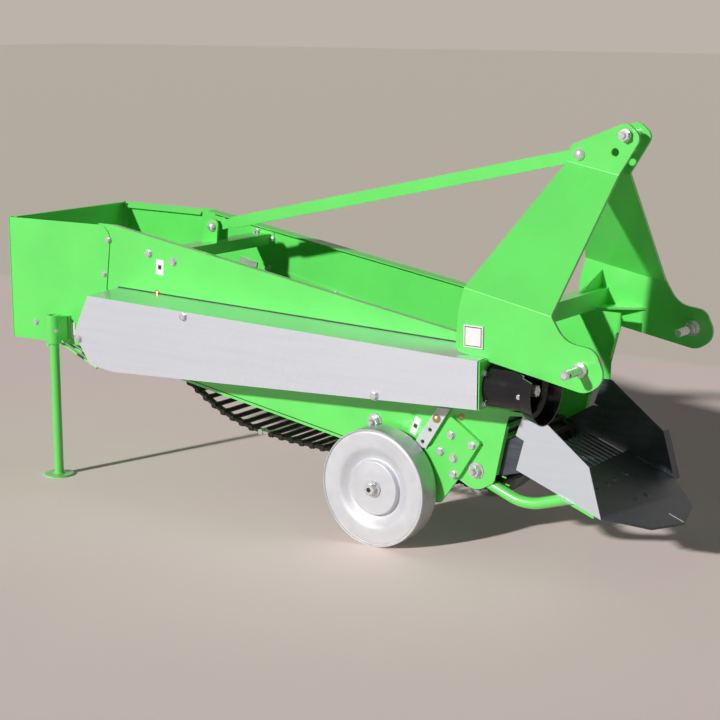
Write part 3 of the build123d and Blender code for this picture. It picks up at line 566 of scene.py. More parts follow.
# ---- properties --------------------------------------------------------------------------
def colour(name, description, value):
    """Colour property."""
    return FloatVectorProperty(
        name=name, description=description, default=value, subtype="COLOR", min=0.0, max=1.0
    )


def length(name, description, value):
    """Length property."""
    return FloatProperty(
        name=name, description=description, default=value, min=0.0, subtype="DISTANCE", unit="LENGTH"
    )


class DiggerLook(bpy.types.PropertyGroup):
    """Colours of the digger's finishes."""

    paint: colour("Paint", "Green enamel of the frame", (0.13, 0.8, 0.13))
    zinc: colour("Zinc", "Galvanised sheet of the drive cover", (0.665, 0.7, 0.77))
    wheel: colour("Wheel", "Zinc sprayed on the wheels", (0.635, 0.65, 0.695))
    share: colour("Share", "Dark steel of the share", (0.08, 0.09, 0.115))
    web: colour("Web", "Dark steel of the rod web", (0.035, 0.032, 0.03))
    bolt: colour("Bolts", "Bright zinc of the fasteners", (0.8, 0.82, 0.85))
    brass: colour("Yellow bolts", "Yellow zinc of the small fasteners", (0.62, 0.5, 0.28))
    joiner: colour("Joiners", "Zinc of the links that close the web", (0.45, 0.55, 0.42))
    plastic: colour("Plastic", "Black plastic of the shaft guard", (0.008, 0.008, 0.01))
    label: colour("Labels", "White film of the blank labels", (0.86, 0.86, 0.86))
    # dark print, and painted shade in holes, sockets and the gaps under the panel's hem and the cover's
    # roof
    mark: colour("Marks", "Dark print and holes", (0.02, 0.02, 0.022))
    dust: colour("Dust", "Dry soil dust", (0.36, 0.3, 0.23))
    floor: colour("Floor", "Plain pale floor", (0.98, 0.84, 0.8))
    wall_foot: colour("Wall", "Floor past the foot of the wall", (0.87, 0.79, 0.69))
    wall: colour("Background", "Tone behind the floor", (0.5, 0.455, 0.4))
    floor_lift: FloatProperty(
        name="Floor lift", description="Brightness that the camera alone sees on the floor",
        default=0.05, min=0.0, max=1.0,
    )


class DiggerSizes(bpy.types.PropertyGroup):
    """Sizes of the small parts."""

    edge: length("Edge", "Rounding of plate and sheet edges", 0.0008)
    bend: length("Bend", "Half the width of the headstock's folds", 0.012)
    bolt: length("Bolt", "Width across flats of the common bolts", 0.021)
    big_bolt: length("Big bolt", "Width across flats of the pivot nuts", 0.034)
    small_bolt: length("Small bolt", "Width across flats of the small bolts", 0.017)
    carrier_bolt: length("Carrier bolt", "Width across flats of the wheel carriers' bolts", 0.02)
    cover_bolt: length("Cover bolt", "Width across flats of the drive cover's bolts", 0.022)
    screw: length("Screw", "Width of the guard's screws", 0.011)
    weld: length("Weld", "Radius of a weld bead", 0.0035)
    label_t: length("Label", "Thickness of a label", 0.0006)
    web_pitch: length("Web pitch", "Distance between two rods of the web", 0.043)
    web_rod: length("Web rod", "Radius of a rod of the web", 0.0085)
    link_wide: length("Link width", "Width of the web's edge links", 0.03)
    web_half: length("Web half width", "From the middle to the outside of the links", 0.238)


class DiggerStage(bpy.types.PropertyGroup):
    """Camera and light."""

    camera_place: FloatVectorProperty(
        name="Camera place", description="Where the camera stands",
        default=(3.2085, -4.5003, 1.6575), subtype="TRANSLATION", unit="LENGTH",
    )
    camera_turn: FloatVectorProperty(
        name="Camera turn", description="Tilt, roll and heading of the camera",
        default=(math.radians(78.072), math.radians(0.066), math.radians(34.863)), subtype="EULER",
    )
    lens: FloatProperty(name="Lens", description="Focal length in millimetres", default=82.43, min=1.0)
    key: FloatProperty(name="Key light", description="Strength of the key light", default=3.3, min=0.0)
    key_travel: FloatVectorProperty(
        name="Key direction", description="Direction in which the key light travels",
        default=(0.265, 1.0, -0.455), subtype="DIRECTION",
    )
    key_softness: FloatProperty(
        name="Key softness", description="Apparent size of the key light",
        default=math.radians(2.5), subtype="ANGLE", unit="ROTATION",
    )
    fill: FloatProperty(name="Fill light", description="Light from all round", default=0.035, min=0.0)
    floor_size: length("Floor size", "Half the width of the floor", 60.0)
    wall_foot: length("Wall foot", "How far behind the digger the wall's tone starts", 2.73)


# ---- operators ---------------------------------------------------------------------------
class Maker(bpy.types.Operator):
    """Shared ways of the operators."""

    bl_options = {"REGISTER", "UNDO"}

    @property
    def sizes(self):
        return bpy.context.scene.digger_sizes

    def execute(self, context):
        self.make(context)
        return {"FINISHED"}


class DIGGER_OT_stage(Maker):
    """Camera, soft key light, even fill and a plain pale floor"""

    bl_idname = "digger.stage"
    bl_label = "Stage"

    def make(self, context):
        stage = context.scene.digger_stage
        look = context.scene.digger_look
        camera_data = bpy.data.cameras.new("camera")
        camera_data.lens = stage.lens
        camera_data.sensor_width = 36.0
        camera_data.clip_end = 200.0
        camera = new_object("camera", camera_data)
        tilt, roll, heading = stage.camera_turn
        camera.matrix_world = (
            Matrix.Translation(stage.camera_place)
            @ Matrix.Rotation(heading, 4, "Z")
            @ Matrix.Rotation(tilt, 4, "X")
            @ Matrix.Rotation(roll, 4, "Z")
        )
        context.scene.camera = camera

        sun = bpy.data.lights.new("key", "SUN")
        sun.energy = stage.key
        sun.angle = stage.key_softness
        sun.color = (1.0, 0.985, 0.96)
        key = new_object("key", sun)
        key.rotation_euler = Vector(stage.key_travel).to_track_quat("-Z", "Y").to_euler()

        world = bpy.data.worlds.new("studio")
        context.scene.world = world
        world.use_nodes = True
        tree = world.node_tree
        tree.nodes.clear()
        sky = {"Color": (0.93, 0.97, 1.0, 1.0), "Strength": stage.fill}
        fill = add_node(tree, "ShaderNodeBackground", sky)
        seen = add_node(tree, "ShaderNodeBackground", {"Color": (*look.wall, 1.0), "Strength": 1.0})
        links = {0: camera_or_glossy(tree), 1: fill.outputs[0], 2: seen.outputs[0]}
        mix = add_node(tree, "ShaderNodeMixShader", links)
        add_node(tree, "ShaderNodeOutputWorld", {"Surface": mix.outputs[0]})

        ground = bmesh.new()
        bmesh.ops.create_grid(ground, x_segments=1, y_segments=1, size=stage.floor_size)
        floor = new_object("floor", to_mesh("floor", ground))
        floor.data.materials.append(material("floor"))
        context.scene.view_settings.view_transform = "Standard"


SIDES = (("_right", -1), ("_left", 1))
# faces of the frame, out from the machine's middle
WING_OUT = 0.2575
PANEL_IN = 0.277
PANEL_OUT = 0.284
CARRIER_OUT = 0.3
COVER_OUT = 0.44
FOLDED_PAIRS = ("side_panel", "front_cheek")
PAINTED_PAIRS = ("rear_box_side", "web_liner", "share_skid")
PAINTED_SINGLE = (
    "rear_box_end", "rear_beam", "cross_tube", "brace_clevis", "top_brace", "cover_end", "gearbox",
    "stand_sleeve",
)


def out_of_paint(face):
    """The free part of a stub axle is bare, so its faces take the second finish."""
    return int(abs(face.calc_center_median().y) > CARRIER_OUT + 0.001)


def mid(node):
    """Middle of a node's box."""
    return (low(node) + high(node)) / 2


def side_face(node, side):
    """Level of a node's outer face on one side of the machine."""
    return low(node).y if side < 0 else high(node).y


class DIGGER_OT_frame(Maker):
    """Painted plates, tubes and sheets of the frame, with their edges rounded"""

    bl_idname = "digger.frame"
    bl_label = "Painted frame"

    def make(self, context):
        edge = self.sizes.edge
        for side, _ in SIDES:
            # the fold's root leaves a strip of half a millimetre, which a wider rounding would overrun
            for name in FOLDED_PAIRS:
                dress(name + side, ["green"], edge=edge / 4)
            for name in PAINTED_PAIRS:
                dress(name + side, ["green"], edge=edge)
            dress("headstock_plate" + side, ["green"], edge=edge * 1.5, bend=self.sizes.bend)
            dress("wheel_arm" + side, ["green", "zinc_bolt"], edge=edge, pick=out_of_paint)
            dress("wheel_strap" + side, ["wheel_zinc"], edge=edge * 1.5)
        for name in PAINTED_SINGLE:
            dress(name, ["green"], edge=edge)
        dress("rear_grate", ["green"])


class DIGGER_OT_cover(Maker):
    """Galvanised drive cover with its folded rim"""

    bl_idname = "digger.cover"
    bl_label = "Drive cover"

    def make(self, context):
        def on_roof(face):
            """Faces that look up take the finish of the roof."""
            return int(face.normal.z > 0.7)

        dress("drive_cover", ["cover_zinc", "cover_roof"], edge=self.sizes.edge * 1.5, pick=on_roof)


def zinc_out_painted_shade_in(face):
    """The outsides of the share's sides are zinc, all else is dark steel; the arm plates are dark steel,
    and the dark steel on the insides of the sides is painted shade.
    """
    centre = face.calc_center_median()
    return int(abs(centre.y) > WING_OUT and centre.y * face.normal.y > 0)


class DIGGER_OT_share(Maker):
    """Share, its sides, its fingers and its bolts"""

    bl_idname = "digger.share"
    bl_label = "Share"

    # bolts on the share's floor, (x, y)
    floor_bolts = ((1.0325, -0.107), (1.0315, -0.039), (1.0255, 0.02), (1.0265, 0.098), (1.1265, -0.03),
                   (1.1325, 0.033))
    head_r, head_high = 0.0125, 0.003
    socket, socket_t = 0.008, 0.0015                    # dark square on a bolt's head: painted shade of its square socket
    plate_up = 0.0074                                   # thickness of the floor, straight up
    seam_from, seam_to, seam_r = 0.05, 0.004, 0.0028    # seam behind the tip: the seam is real, the bright zinc of its bead a painted highlight of its sunlit edge
    side_weld_from, side_weld_to, side_weld_y = 0.01, 0.145, 0.2565

    def make(self, context):
        edge = self.sizes.edge
        dress("share_floor", ["share_steel"], edge=edge)
        dress("share_fingers", ["share_steel"], edge=edge)
        for side, _ in SIDES:
            # the insides of the sides take dark steel as painted shade
            dress("share_wing" + side, ["share_steel", "share_zinc"], edge=edge, pick=zinc_out_painted_shade_in)
        rear, front = low("share_floor"), high("share_floor")
        fall = (front.z - rear.z - self.plate_up) / (front.x - rear.x)
        face_up = Vector((fall, 0, 1)).normalized()

        def on_floor(x, y):
            """Point on the share's upper face."""
            return Vector((x, y, front.z - fall * (x - rear.x)))

        bolts = bmesh.new()
        for x, y in self.floor_bolts:
            head = turned_to(face_up, on_floor(x, y))
            add_round(bolts, [(0, 0)] + dome(self.head_r, self.head_high), 20, head)
            on_head = head @ Matrix.Translation((0, 0, self.head_high))
            # the dark square is painted shade of the socket
            add_box(bolts, (self.socket, self.socket, self.socket_t), on_head, 0.0004, 1)
        # the seam's bead in bright zinc is a painted highlight of the sunlit edge where the halves meet
        seam = on_floor(front.x - self.seam_from, 0.0), on_floor(front.x - self.seam_to, 0.0)
        add_weld(bolts, *seam, self.seam_r, 2)
        for _, sign in SIDES:
            y = sign * self.side_weld_y
            start, end = on_floor(rear.x + self.side_weld_from, y), on_floor(rear.x + self.side_weld_to, y)
            add_weld(bolts, start, end, self.sizes.weld)
        finish_piece("share_bolts", bolts, ["share_steel", "mark", "zinc_bolt"])


def loop_places(corners, radii, pitch):
    """Evenly spaced (place, direction) pairs along a closed outline with rounded corners."""
    line = []
    for index, corner in enumerate(corners):
        before = (corners[index - 1] - corner).normalized()
        after = (corners[(index + 1) % len(corners)] - corner).normalized()
        half = before.angle(after) / 2
        centre = corner + (before + after).normalized() * radii[index] / math.sin(half)
        start = corner + before * radii[index] / math.tan(half) - centre
        end = corner + after * radii[index] / math.tan(half) - centre
        line += [centre + start.lerp(end, step / 24).normalized() * radii[index] for step in range(25)]
    line.append(line[0])
    spans = [(b - a).length for a, b in zip(line, line[1:])]
    count = round(sum(spans) / pitch)
    gap = sum(spans) / count
    places = []
    travelled = 0.0
    for start, end, span in zip(line, line[1:], spans):
        while len(places) < count and len(places) * gap <= travelled + span:
            share = (len(places) * gap - travelled) / span if span else 0.0
            places.append(start.lerp(end, share))
        travelled += span
    return [(place, (places[(index + 1) % count] - place)) for index, place in enumerate(places)]


class DIGGER_OT_web(Maker):
    """Rod web of round bars between hooked edge links, its rollers, shafts and bearings"""

    bl_idname = "digger.web"
    bl_label = "Rod web"

    # points that the slack lower run bends round, (x, z), and the fall of its rear stretch
    return_run = ((-0.2125, 0.264), (-0.0175, 0.246))
    return_bend_x = -0.3525
    return_fall = 0.61
    slack_r = 0.45            # radius of the lower run's soft bends
    return_below = 0.3        # rods lower than this hang in the lower run
    web_lift = 0.011          # from a drum's face to the middle of the web
    eye_r = 0.0098
    link_t = 0.009
    hook_long, hook_t, hook_turn = 0.014, 0.005, -0.5
    joiner_from, joiner_to = 0.13, 0.255     # where the links that close the web hang

    def corners(self):
        """Corners of the web's path and the radius of each."""
        front, rear = mid("web_front_roller").xz, mid("web_drive_shaft").xz
        front_r = (high("web_front_roller").z - low("web_front_roller").z) / 2 + self.web_lift
        rear_r = (high("web_drive_shaft").z - low("web_drive_shaft").z) / 2 + self.web_lift
        span = front - rear
        angle = math.atan2(-span.y, span.x) + math.asin((rear_r - front_r) / span.length)

        def top(x):
            return front.y + front_r / math.cos(angle) + math.tan(angle) * (front.x - x)

        def rear_return(x):
            return rear.y - rear_r * math.hypot(1, self.return_fall) - self.return_fall * (x - rear.x)

        low_x, low_z = self.return_run[1]
        rise = (front.y - front_r - low_z) / (front.x - low_x)
        points = [
            (front.x + front_r, top(front.x + front_r)),
            (rear.x - rear_r, top(rear.x - rear_r)),
            (rear.x - rear_r, rear_return(rear.x - rear_r)),
            (self.return_bend_x, rear_return(self.return_bend_x)),
            *self.return_run,
            (front.x + front_r, front.y - front_r + rise * front_r),
        ]
        front_bend, rear_bend = front_r - 0.001, rear_r - 0.001
        radii = [front_bend, rear_bend, rear_bend, *[self.slack_r] * 3, front_bend]
        return [Vector(point) for point in points], radii

    def make(self, context):
        sizes = self.sizes
        web = bmesh.new()
        places = loop_places(*self.corners(), sizes.web_pitch)
        half = sizes.link_wide / 2
        reach = sizes.web_half - half
        for index, (place, along) in enumerate(places):
            middle = Vector((place.x, 0, place.y))
            add_round(web, rod(sizes.web_rod, -reach, reach), 12, turned_to(LEFT, middle))
            lean = Matrix.Rotation(-math.atan2(along.y, along.x), 4, "Y")
            under = place.y < self.return_below and self.joiner_from < -place.x < self.joiner_to
            for sign in (-1, 1):
                y = sign * reach
                finish = int(under and sign < 0 and index % 2 == 0)
                barrel = turned_to(LEFT, middle + Vector((0, y, 0)))
                add_round(web, rod(self.eye_r, -half, half), 12, barrel, finish)
                link = Matrix.Translation(middle + Vector((along.x / 2, y, along.y / 2))) @ lean
                bar = (along.length * 0.92, sizes.link_wide * 0.82, self.link_t)
                add_box(web, bar, link, 0.0, finish)
                under_link = Matrix.Translation((-along.length * 0.27, 0, -0.0055))
                hook = link @ under_link @ Matrix.Rotation(self.hook_turn, 4, "Y")
                add_box(web, (self.hook_long, sizes.link_wide * 0.66, self.hook_t), hook, 0.0, finish)
        stand_in("rod_web", "_links", web, ["web_steel", "joiner"])
        for name in ("web_front_roller", "web_drive_shaft", "web_support_roller"):
            dress(name, ["web_steel"])
        dress("web_bearings_left", ["web_steel"], edge=sizes.edge)
        dress("shaft_bearing", ["web_steel"], edge=sizes.edge)


class DIGGER_OT_drive(Maker):
    """Power shaft with its splined stub, and the plastic guard round it"""

    bl_idname = "digger.drive"
    bl_label = "Drive"

    shaft_r = 0.015
    stub_long = 0.138
    spline_count = 6
    spline_deep, spline_high, spline_wide = 0.0028, 0.0062, 0.0085
    groove_from, groove_to = 0.045, 0.036       # locking groove, back from the stub's end
    ring_from_rear, ring_r = 0.1265, 0.0745     # the guard's ring, which its screws hold
    screw_turns = (185, 265, 350)
    end_screw_out, end_screw_up = 0.056, 0.045  # screws of the cover's end, from the shaft's axis

    def make(self, context):
        rear, front = low("power_shaft"), high("power_shaft")
        centre = mid("power_shaft")
        outer_r = (front.z - rear.z) / 2
        root_r = outer_r - self.spline_deep
        long = front.x - rear.x
        shaft = bmesh.new()
        along = turned_to(FORWARD, (rear.x, centre.y, centre.z))
        profile = [
            (0, 0), (self.shaft_r, 0), (self.shaft_r, long - self.stub_long - 0.004),
            (outer_r, long - self.stub_long), (outer_r, long - self.stub_long + 0.02),
            (root_r, long - self.stub_long + 0.026), (root_r, long - 0.003),
            (root_r - 0.003, long), (0.005, long), (0.003, long - 0.004), (0, long - 0.005),
        ]
        add_round(shaft, profile, 36, along)
        # two runs of splines with the locking groove between them
        runs = (
            (long - self.stub_long + 0.024, long - self.groove_from),
            (long - self.groove_to, long - 0.002),
        )
        for start, end in runs:
            for index in range(self.spline_count):
                turn = Matrix.Rotation(2 * math.pi * index / self.spline_count, 4, "Z")
                tooth = along @ turn @ Matrix.Translation((root_r - 0.0006, 0, (start + end) / 2))
                add_box(shaft, (self.spline_high, self.spline_wide, end - start), tooth, 0.0008)
        stand_in("power_shaft", "_splined", shaft, ["zinc_bolt"], "drive_line")

        dress("pto_guard", ["plastic"], edge=self.sizes.edge * 1.5)
        screws = bmesh.new()
        screw = self.sizes.screw
        ring_x = low("pto_guard").x + self.ring_from_rear
        for turn in map(math.radians, self.screw_turns):
            out = Vector((0, math.cos(turn), math.sin(turn)))
            add_bolt(screws, Vector((ring_x, centre.y, centre.z)) + out * self.ring_r, out, screw, "hex")
        end_x = high("cover_end").x
        for up in (-self.end_screw_up, self.end_screw_up):
            place = (end_x, centre.y - self.end_screw_out, centre.z + up)
            add_bolt(screws, place, FORWARD, screw * 1.3, "hex")
        finish_piece("guard_screws", screws, ["zinc_bolt"])


class DIGGER_OT_hitch(Maker):
    """Lower link pins with their nuts, the top pin and the brace's bolts"""

    bl_idname = "digger.hitch"
    bl_label = "Hitch pins"

    thread_long = 0.066
    collar_r, collar_t = 0.022, 0.014
    nut_wide, nut_high = 0.038, 0.02
    washer_r, washer_t = 0.026, 0.0035
    headstock_t = 0.01
    link_pin_r = 0.014
    clip_hole_r, clip_hole_in = 0.0045, 0.016
    # bolts of the brace: domed head, shank, nut, and how far the thread's end stands past the plate
    dome_r, dome_high = 0.019, 0.014
    bolt_r, bolt_nut_wide, bolt_nut_high, bolt_end = 0.01, 0.03, 0.0125, 0.018
    # top pin
    top_pin_r = 0.0125
    top_thread, top_nut, top_washer_t = 0.012, 0.014, 0.003

    def link_pin(self, name, sign):
        """Pin with a collar outside the plate and a nut on its thread inside."""
        centre = mid(name)
        bottom, top = low(name).y, high(name).y
        inner = max(bottom, top) if sign < 0 else min(bottom, top)
        long = top - bottom
        radius = self.link_pin_r
        plate_out = abs(side_face("headstock_plate_right", -1)) - abs(inner)
        axis = turned_to((0, sign, 0), (centre.x, inner, centre.z))

        def up(height):
            """Place along the pin's axis."""
            return axis @ Matrix.Translation((0, 0, height))

        pin = bmesh.new()
        thread = up(self.thread_long) @ Matrix.Rotation(math.pi, 4, "X")
        add_thread(pin, radius * 0.97, self.thread_long, thread)
        shank_from, collar_to = self.thread_long * 0.9, plate_out + self.collar_t
        shank = [
            (0, shank_from), (radius, shank_from), (radius, plate_out),
            (self.collar_r - 0.002, plate_out), (self.collar_r, plate_out + 0.002),
            (self.collar_r, collar_to - 0.003), (radius + 0.001, collar_to), (radius, collar_to + 0.001),
            (radius, long - 0.006), (radius - 0.005, long), (0, long),
        ]
        add_round(pin, shank, 32, axis)
        nut_face = plate_out - self.headstock_t - self.nut_high - self.washer_t
        add_hex(pin, self.nut_wide, self.nut_high, up(nut_face))
        add_washer(pin, self.washer_r, self.washer_t, up(nut_face + self.nut_high))
        side = Matrix.Translation((radius * 0.96, 0, 0)) @ Matrix.Rotation(math.pi / 2, 4, "Y")
        # thin dark disc on the pin's side: painted shade of the hole for the linch pin
        add_round(pin, rod(self.clip_hole_r, 0, 0.0008), 16, up(long - self.clip_hole_in) @ side, 1)
        stand_in(name, "_turned", pin, ["zinc_bolt", "mark"])

    def through_bolt(self, name):
        """Bolt with a domed head on the drive side and a nut on the far side."""
        centre = mid(name)
        near, far = low(name).y, high(name).y
        bolt = bmesh.new()
        under_head = Vector((centre.x, near + self.dome_high, centre.z))
        head = [(0, 0)] + dome(self.dome_r, self.dome_high)
        add_round(bolt, head, 28, turned_to(RIGHT, under_head))
        body = rod(self.bolt_r, 0, far - near - self.dome_high - self.bolt_end)
        add_round(bolt, body, 20, turned_to(LEFT, under_head))
        nut_at = turned_to(LEFT, (centre.x, far - self.bolt_end, centre.z))
        add_hex(bolt, self.bolt_nut_wide, self.bolt_nut_high, nut_at)
        add_thread(bolt, self.bolt_r, self.bolt_end, nut_at)
        stand_in(name, "_turned", bolt, ["zinc_bolt"])

    def nutted_pin(self, name):
        """Pin with a washer and a nut on its thread at each end."""
        centre = mid(name)
        near, far = low(name).y, high(name).y
        head_r = (high(name).z - low(name).z) / 2
        past_nut = self.top_thread * 0.6
        inset = past_nut + self.top_nut
        pin = bmesh.new()
        shank = rod(self.top_pin_r, 0, far - near - 2 * inset)
        add_round(pin, shank, 28, turned_to(LEFT, (centre.x, near + inset, centre.z)))
        for end, out in ((near, RIGHT), (far, LEFT)):
            inner = Vector((centre.x, end - out.y * inset, centre.z))
            add_washer(pin, head_r, self.top_washer_t, turned_to(out, inner))
            on_washer = turned_to(out, inner + out * self.top_washer_t)
            add_hex(pin, head_r * 1.6, self.top_nut - self.top_washer_t, on_washer)
            add_thread(pin, head_r * 0.5, past_nut, turned_to(out, inner + out * self.top_nut))
        stand_in(name, "_turned", pin, ["zinc_bolt"])

    def make(self, context):
        for side, sign in SIDES:
            self.link_pin("lower_link_pin" + side, sign)
        for name in ("brace_foot_bolt", "brace_head_bolt"):
            self.through_bolt(name)
        self.nutted_pin("top_link_pin")


class DIGGER_OT_wheels(Maker):
    """Drum wheels with a rolled rim, a bead groove and a pressed dish"""

    bl_idname = "digger.wheels"
    bl_label = "Wheels"

    # radius and height above the wheel's inner edge, in millimetres, round the section of the sheet
    section = (
        (17.55, 74.0), (84.0, 74.0), (86.5, 73.4), (87.6, 71.6), (89.0, 58.6), (90.5, 56.8),
        (93.5, 56.2), (98.0, 57.0), (104.0, 59.6), (110.0, 63.2), (116.0, 67.2), (122.0, 71.0),
        (127.0, 73.6), (132.0, 75.2), (140.0, 76.0), (176.5, 76.6), (180.0, 76.2), (181.4, 74.6),
        (183.0, 74.2), (184.6, 75.0), (185.6, 77.6), (186.6, 79.3), (188.2, 80.0), (189.4, 79.4),
        (190.0, 77.8), (190.0, 73.4), (189.0, 72.6), (189.0, 71.0), (190.0, 70.2), (190.0, 2.2),
        (189.4, 0.6), (188.0, 0.0), (179.0, 0.0), (178.0, 1.2), (178.0, 3.0), (179.0, 4.2),
        (185.6, 4.6), (186.2, 6.0), (186.2, 68.0), (184.0, 70.6), (180.0, 72.0), (140.0, 72.0),
        (131.0, 71.0), (124.0, 67.8), (116.0, 63.0), (108.0, 58.0), (100.0, 53.6), (94.0, 52.2),
        (89.0, 52.6), (86.0, 55.0), (84.0, 68.4), (82.0, 70.0), (27.0, 70.0), (26.0, 69.0), (26.0, 1.0),
        (25.0, 0.0), (17.55, 0.0),
    )

    bead_from = 0.0725       # where the polished tread ends and the rolled bead starts
    # split pin: its wire, how far it reaches past the axle's middle, its place and its eye
    wire_r, wire_reach, pin_in = 0.0022, 0.023, 0.007
    eye_up, eye_r, eye_wire_r = 0.026, 0.0045, 0.0018

    def wheel(self, side, sign, body):
        """One wheel, spun from its section."""
        name = "wheel" + side
        centre = mid(name)
        inner = high(name).y if sign < 0 else low(name).y
        axis = turned_to((0, sign, 0), (centre.x, inner, centre.z))
        mesh_data = bmesh.new()
        add_round(mesh_data, [(r / 1000, h / 1000) for r, h in self.section], 112, axis, ring=True)
        outer_r = (high(name).z - low(name).z) / 2
        for face in mesh_data.faces:
            middle = face.calc_center_median()
            out = math.hypot(middle.x - centre.x, middle.z - centre.z)
            across = abs(middle.y - inner)
            face.material_index = int(out > outer_r - 0.002 and 0.001 < across < self.bead_from)
        stand_in(name, "_pressed", mesh_data, ["wheel_zinc", "wheel_tread"], body, sharp=50.0)

    def split_pin(self, sign):
        """Split pin through the free end of the stub axle."""
        name = "wheel_arm_right" if sign < 0 else "wheel_arm_left"
        wheel = mid("wheel_right" if sign < 0 else "wheel_left")
        end = side_face(name, sign)
        pin = bmesh.new()
        place = Vector((wheel.x, end - sign * self.pin_in, wheel.z))
        lean = Vector((0.5, 0, 1)).normalized()
        add_round(pin, rod(self.wire_r, -self.wire_reach, self.wire_reach), 10, turned_to(lean, place))
        eye = Matrix.Translation(place + lean * self.eye_up) @ Matrix.Rotation(math.pi / 2, 4, "X")
        turns = [2 * math.pi * index / 5 for index in range(5)]
        wire = self.eye_wire_r
        ring = [(self.eye_r + wire * math.cos(turn), wire * math.sin(turn)) for turn in turns]
        add_round(pin, ring, 16, eye, ring=True)
        centre_mark = turned_to((0, sign, 0), (wheel.x, end - sign * 0.0008, wheel.z))
        add_round(pin, [(0, 0), (0.009, 0), (0.0075, 0.0012), (0, 0.0012)], 20, centre_mark, 1)
        finish_piece("split_pin" + ("_right" if sign < 0 else "_left"), pin, ["zinc_bolt", "mark"])

    def make(self, context):
        for (side, sign), body in zip(SIDES, ("right_wheel", "left_wheel")):
            self.wheel(side, sign, body)
            self.split_pin(sign)


class DIGGER_OT_stand(Maker):
    """Parking leg with its dished foot, and the pin that locks it"""

    bl_idname = "digger.stand"
    bl_label = "Parking stand"

    # sections of the tube, its foot and the weld between them, (radius, height)
    tube_in, tube_out, tube_foot = 0.0135, 0.017, 0.006
    foot_dish = (
        (0, 0.002), (0.034, 0.0015), (0.046, 0.0), (0.0515, 0.0), (0.053, 0.0015), (0.0525, 0.006),
        (0.047, 0.007), (0.036, 0.006), (0.017, 0.0065), (0, 0.0065),
    )
    foot_weld = ((0.0165, 0.0055), (0.0225, 0.0062), (0.0185, 0.0105), (0.0165, 0.012))
    lock_way = Vector((0.9, -0.44, 0))       # direction of the locking bolt, out of the sleeve
    lock_out, lock_down = 0.0245, 0.0025

    def make(self, context):
        name = "stand_leg"
        centre, foot, top = mid(name), low(name), high(name)
        leg = bmesh.new()
        base = Matrix.Translation((centre.x, centre.y, foot.z))
        long = top.z - foot.z
        tube = [
            (self.tube_in, self.tube_foot), (self.tube_out, self.tube_foot),
            (self.tube_out, long - 0.001), (self.tube_out - 0.001, long), (self.tube_in, long),
        ]
        add_round(leg, tube, 28, base, ring=True)
        add_round(leg, self.foot_dish, 40, base)
        add_round(leg, self.foot_weld, 28, base, ring=True)
        stand_in(name, "_tube", leg, ["green"], "stand")

        lock = bmesh.new()
        axis = Vector((centre.x, centre.y, mid("stand_sleeve").z - self.lock_down))
        add_bolt(lock, axis + self.lock_way * self.lock_out, self.lock_way, self.sizes.screw, "nut")
        finish_piece("stand_lock_bolt", lock, ["zinc_bolt"])


# fasteners of one side: node whose outer face they stand on, x, z, size, kind, finish
BOTH_SIDES_BOLTS = (
    ("side_panel", -0.6175, 0.840, "bolt", "hex", 0),
    ("side_panel", -0.5065, 0.820, "bolt", "hex", 0),
    ("side_panel", -0.583, 0.705, "small_bolt", "dome", 1),
    ("front_cheek", 0.65, 0.439, "small_bolt", "dome", 1),
    ("front_cheek", 0.7075, 0.278, "big_bolt", "pivot", 0),
    ("wheel_carrier", 0.6255, 0.381, "carrier_bolt", "hex", 0),
    ("wheel_carrier", 0.7005, 0.360, "carrier_bolt", "hex", 0),
    ("wheel_carrier", 0.6345, 0.309, "carrier_bolt", "hex", 0),
    ("wheel_carrier", 0.5865, 0.324, "carrier_bolt", "hex", 0),
    ("wheel_carrier", 0.6345, 0.258, "carrier_bolt", "hex", 0),
    ("wheel_carrier", 0.5715, 0.426, "bolt", "dome", 1),
)
RIGHT_BOLTS = (
    ("side_panel", 0.3305, 0.379, "big_bolt", "pivot", 0),
    ("drive_cover", -0.331, 0.672, "cover_bolt", "hex", 0),
    ("drive_cover", -0.8145, 0.543, "cover_bolt", "hex", 0),
    ("drive_cover", 0.4335, 0.507, "cover_bolt", "hex", 0),
)
# bolts seen on the inner face of a side panel, (x, z, width)
INNER_BOLTS = (
    (-0.5365, 0.726, 0.017), (-0.2255, 0.659, 0.017), (-0.5865, 0.860, 0.02), (0.02, 0.604, 0.017),
)
BOX_BOLTS = ((-0.805, 0.872), (-0.8275, 0.750), (-1.1585, 0.545))


def bolt_level(node, side):
    """Outer face that a bolt's node gives on one side."""
    levels = {
        "wheel_carrier": CARRIER_OUT, "side_panel": PANEL_OUT, "front_cheek": PANEL_OUT,
        "drive_cover": COVER_OUT,
    }
    return side * levels[node]


def box_side_y(x, side):
    """Level of the outer face of the rear box's side, which stands out further at its rear."""
    name = "rear_box_side_right"
    front, rear = high(name).x, low(name).x
    start, out = PANEL_OUT + 0.003, abs(low(name).y)
    return side * (start + (out - start) * (front - x) / (front - rear))


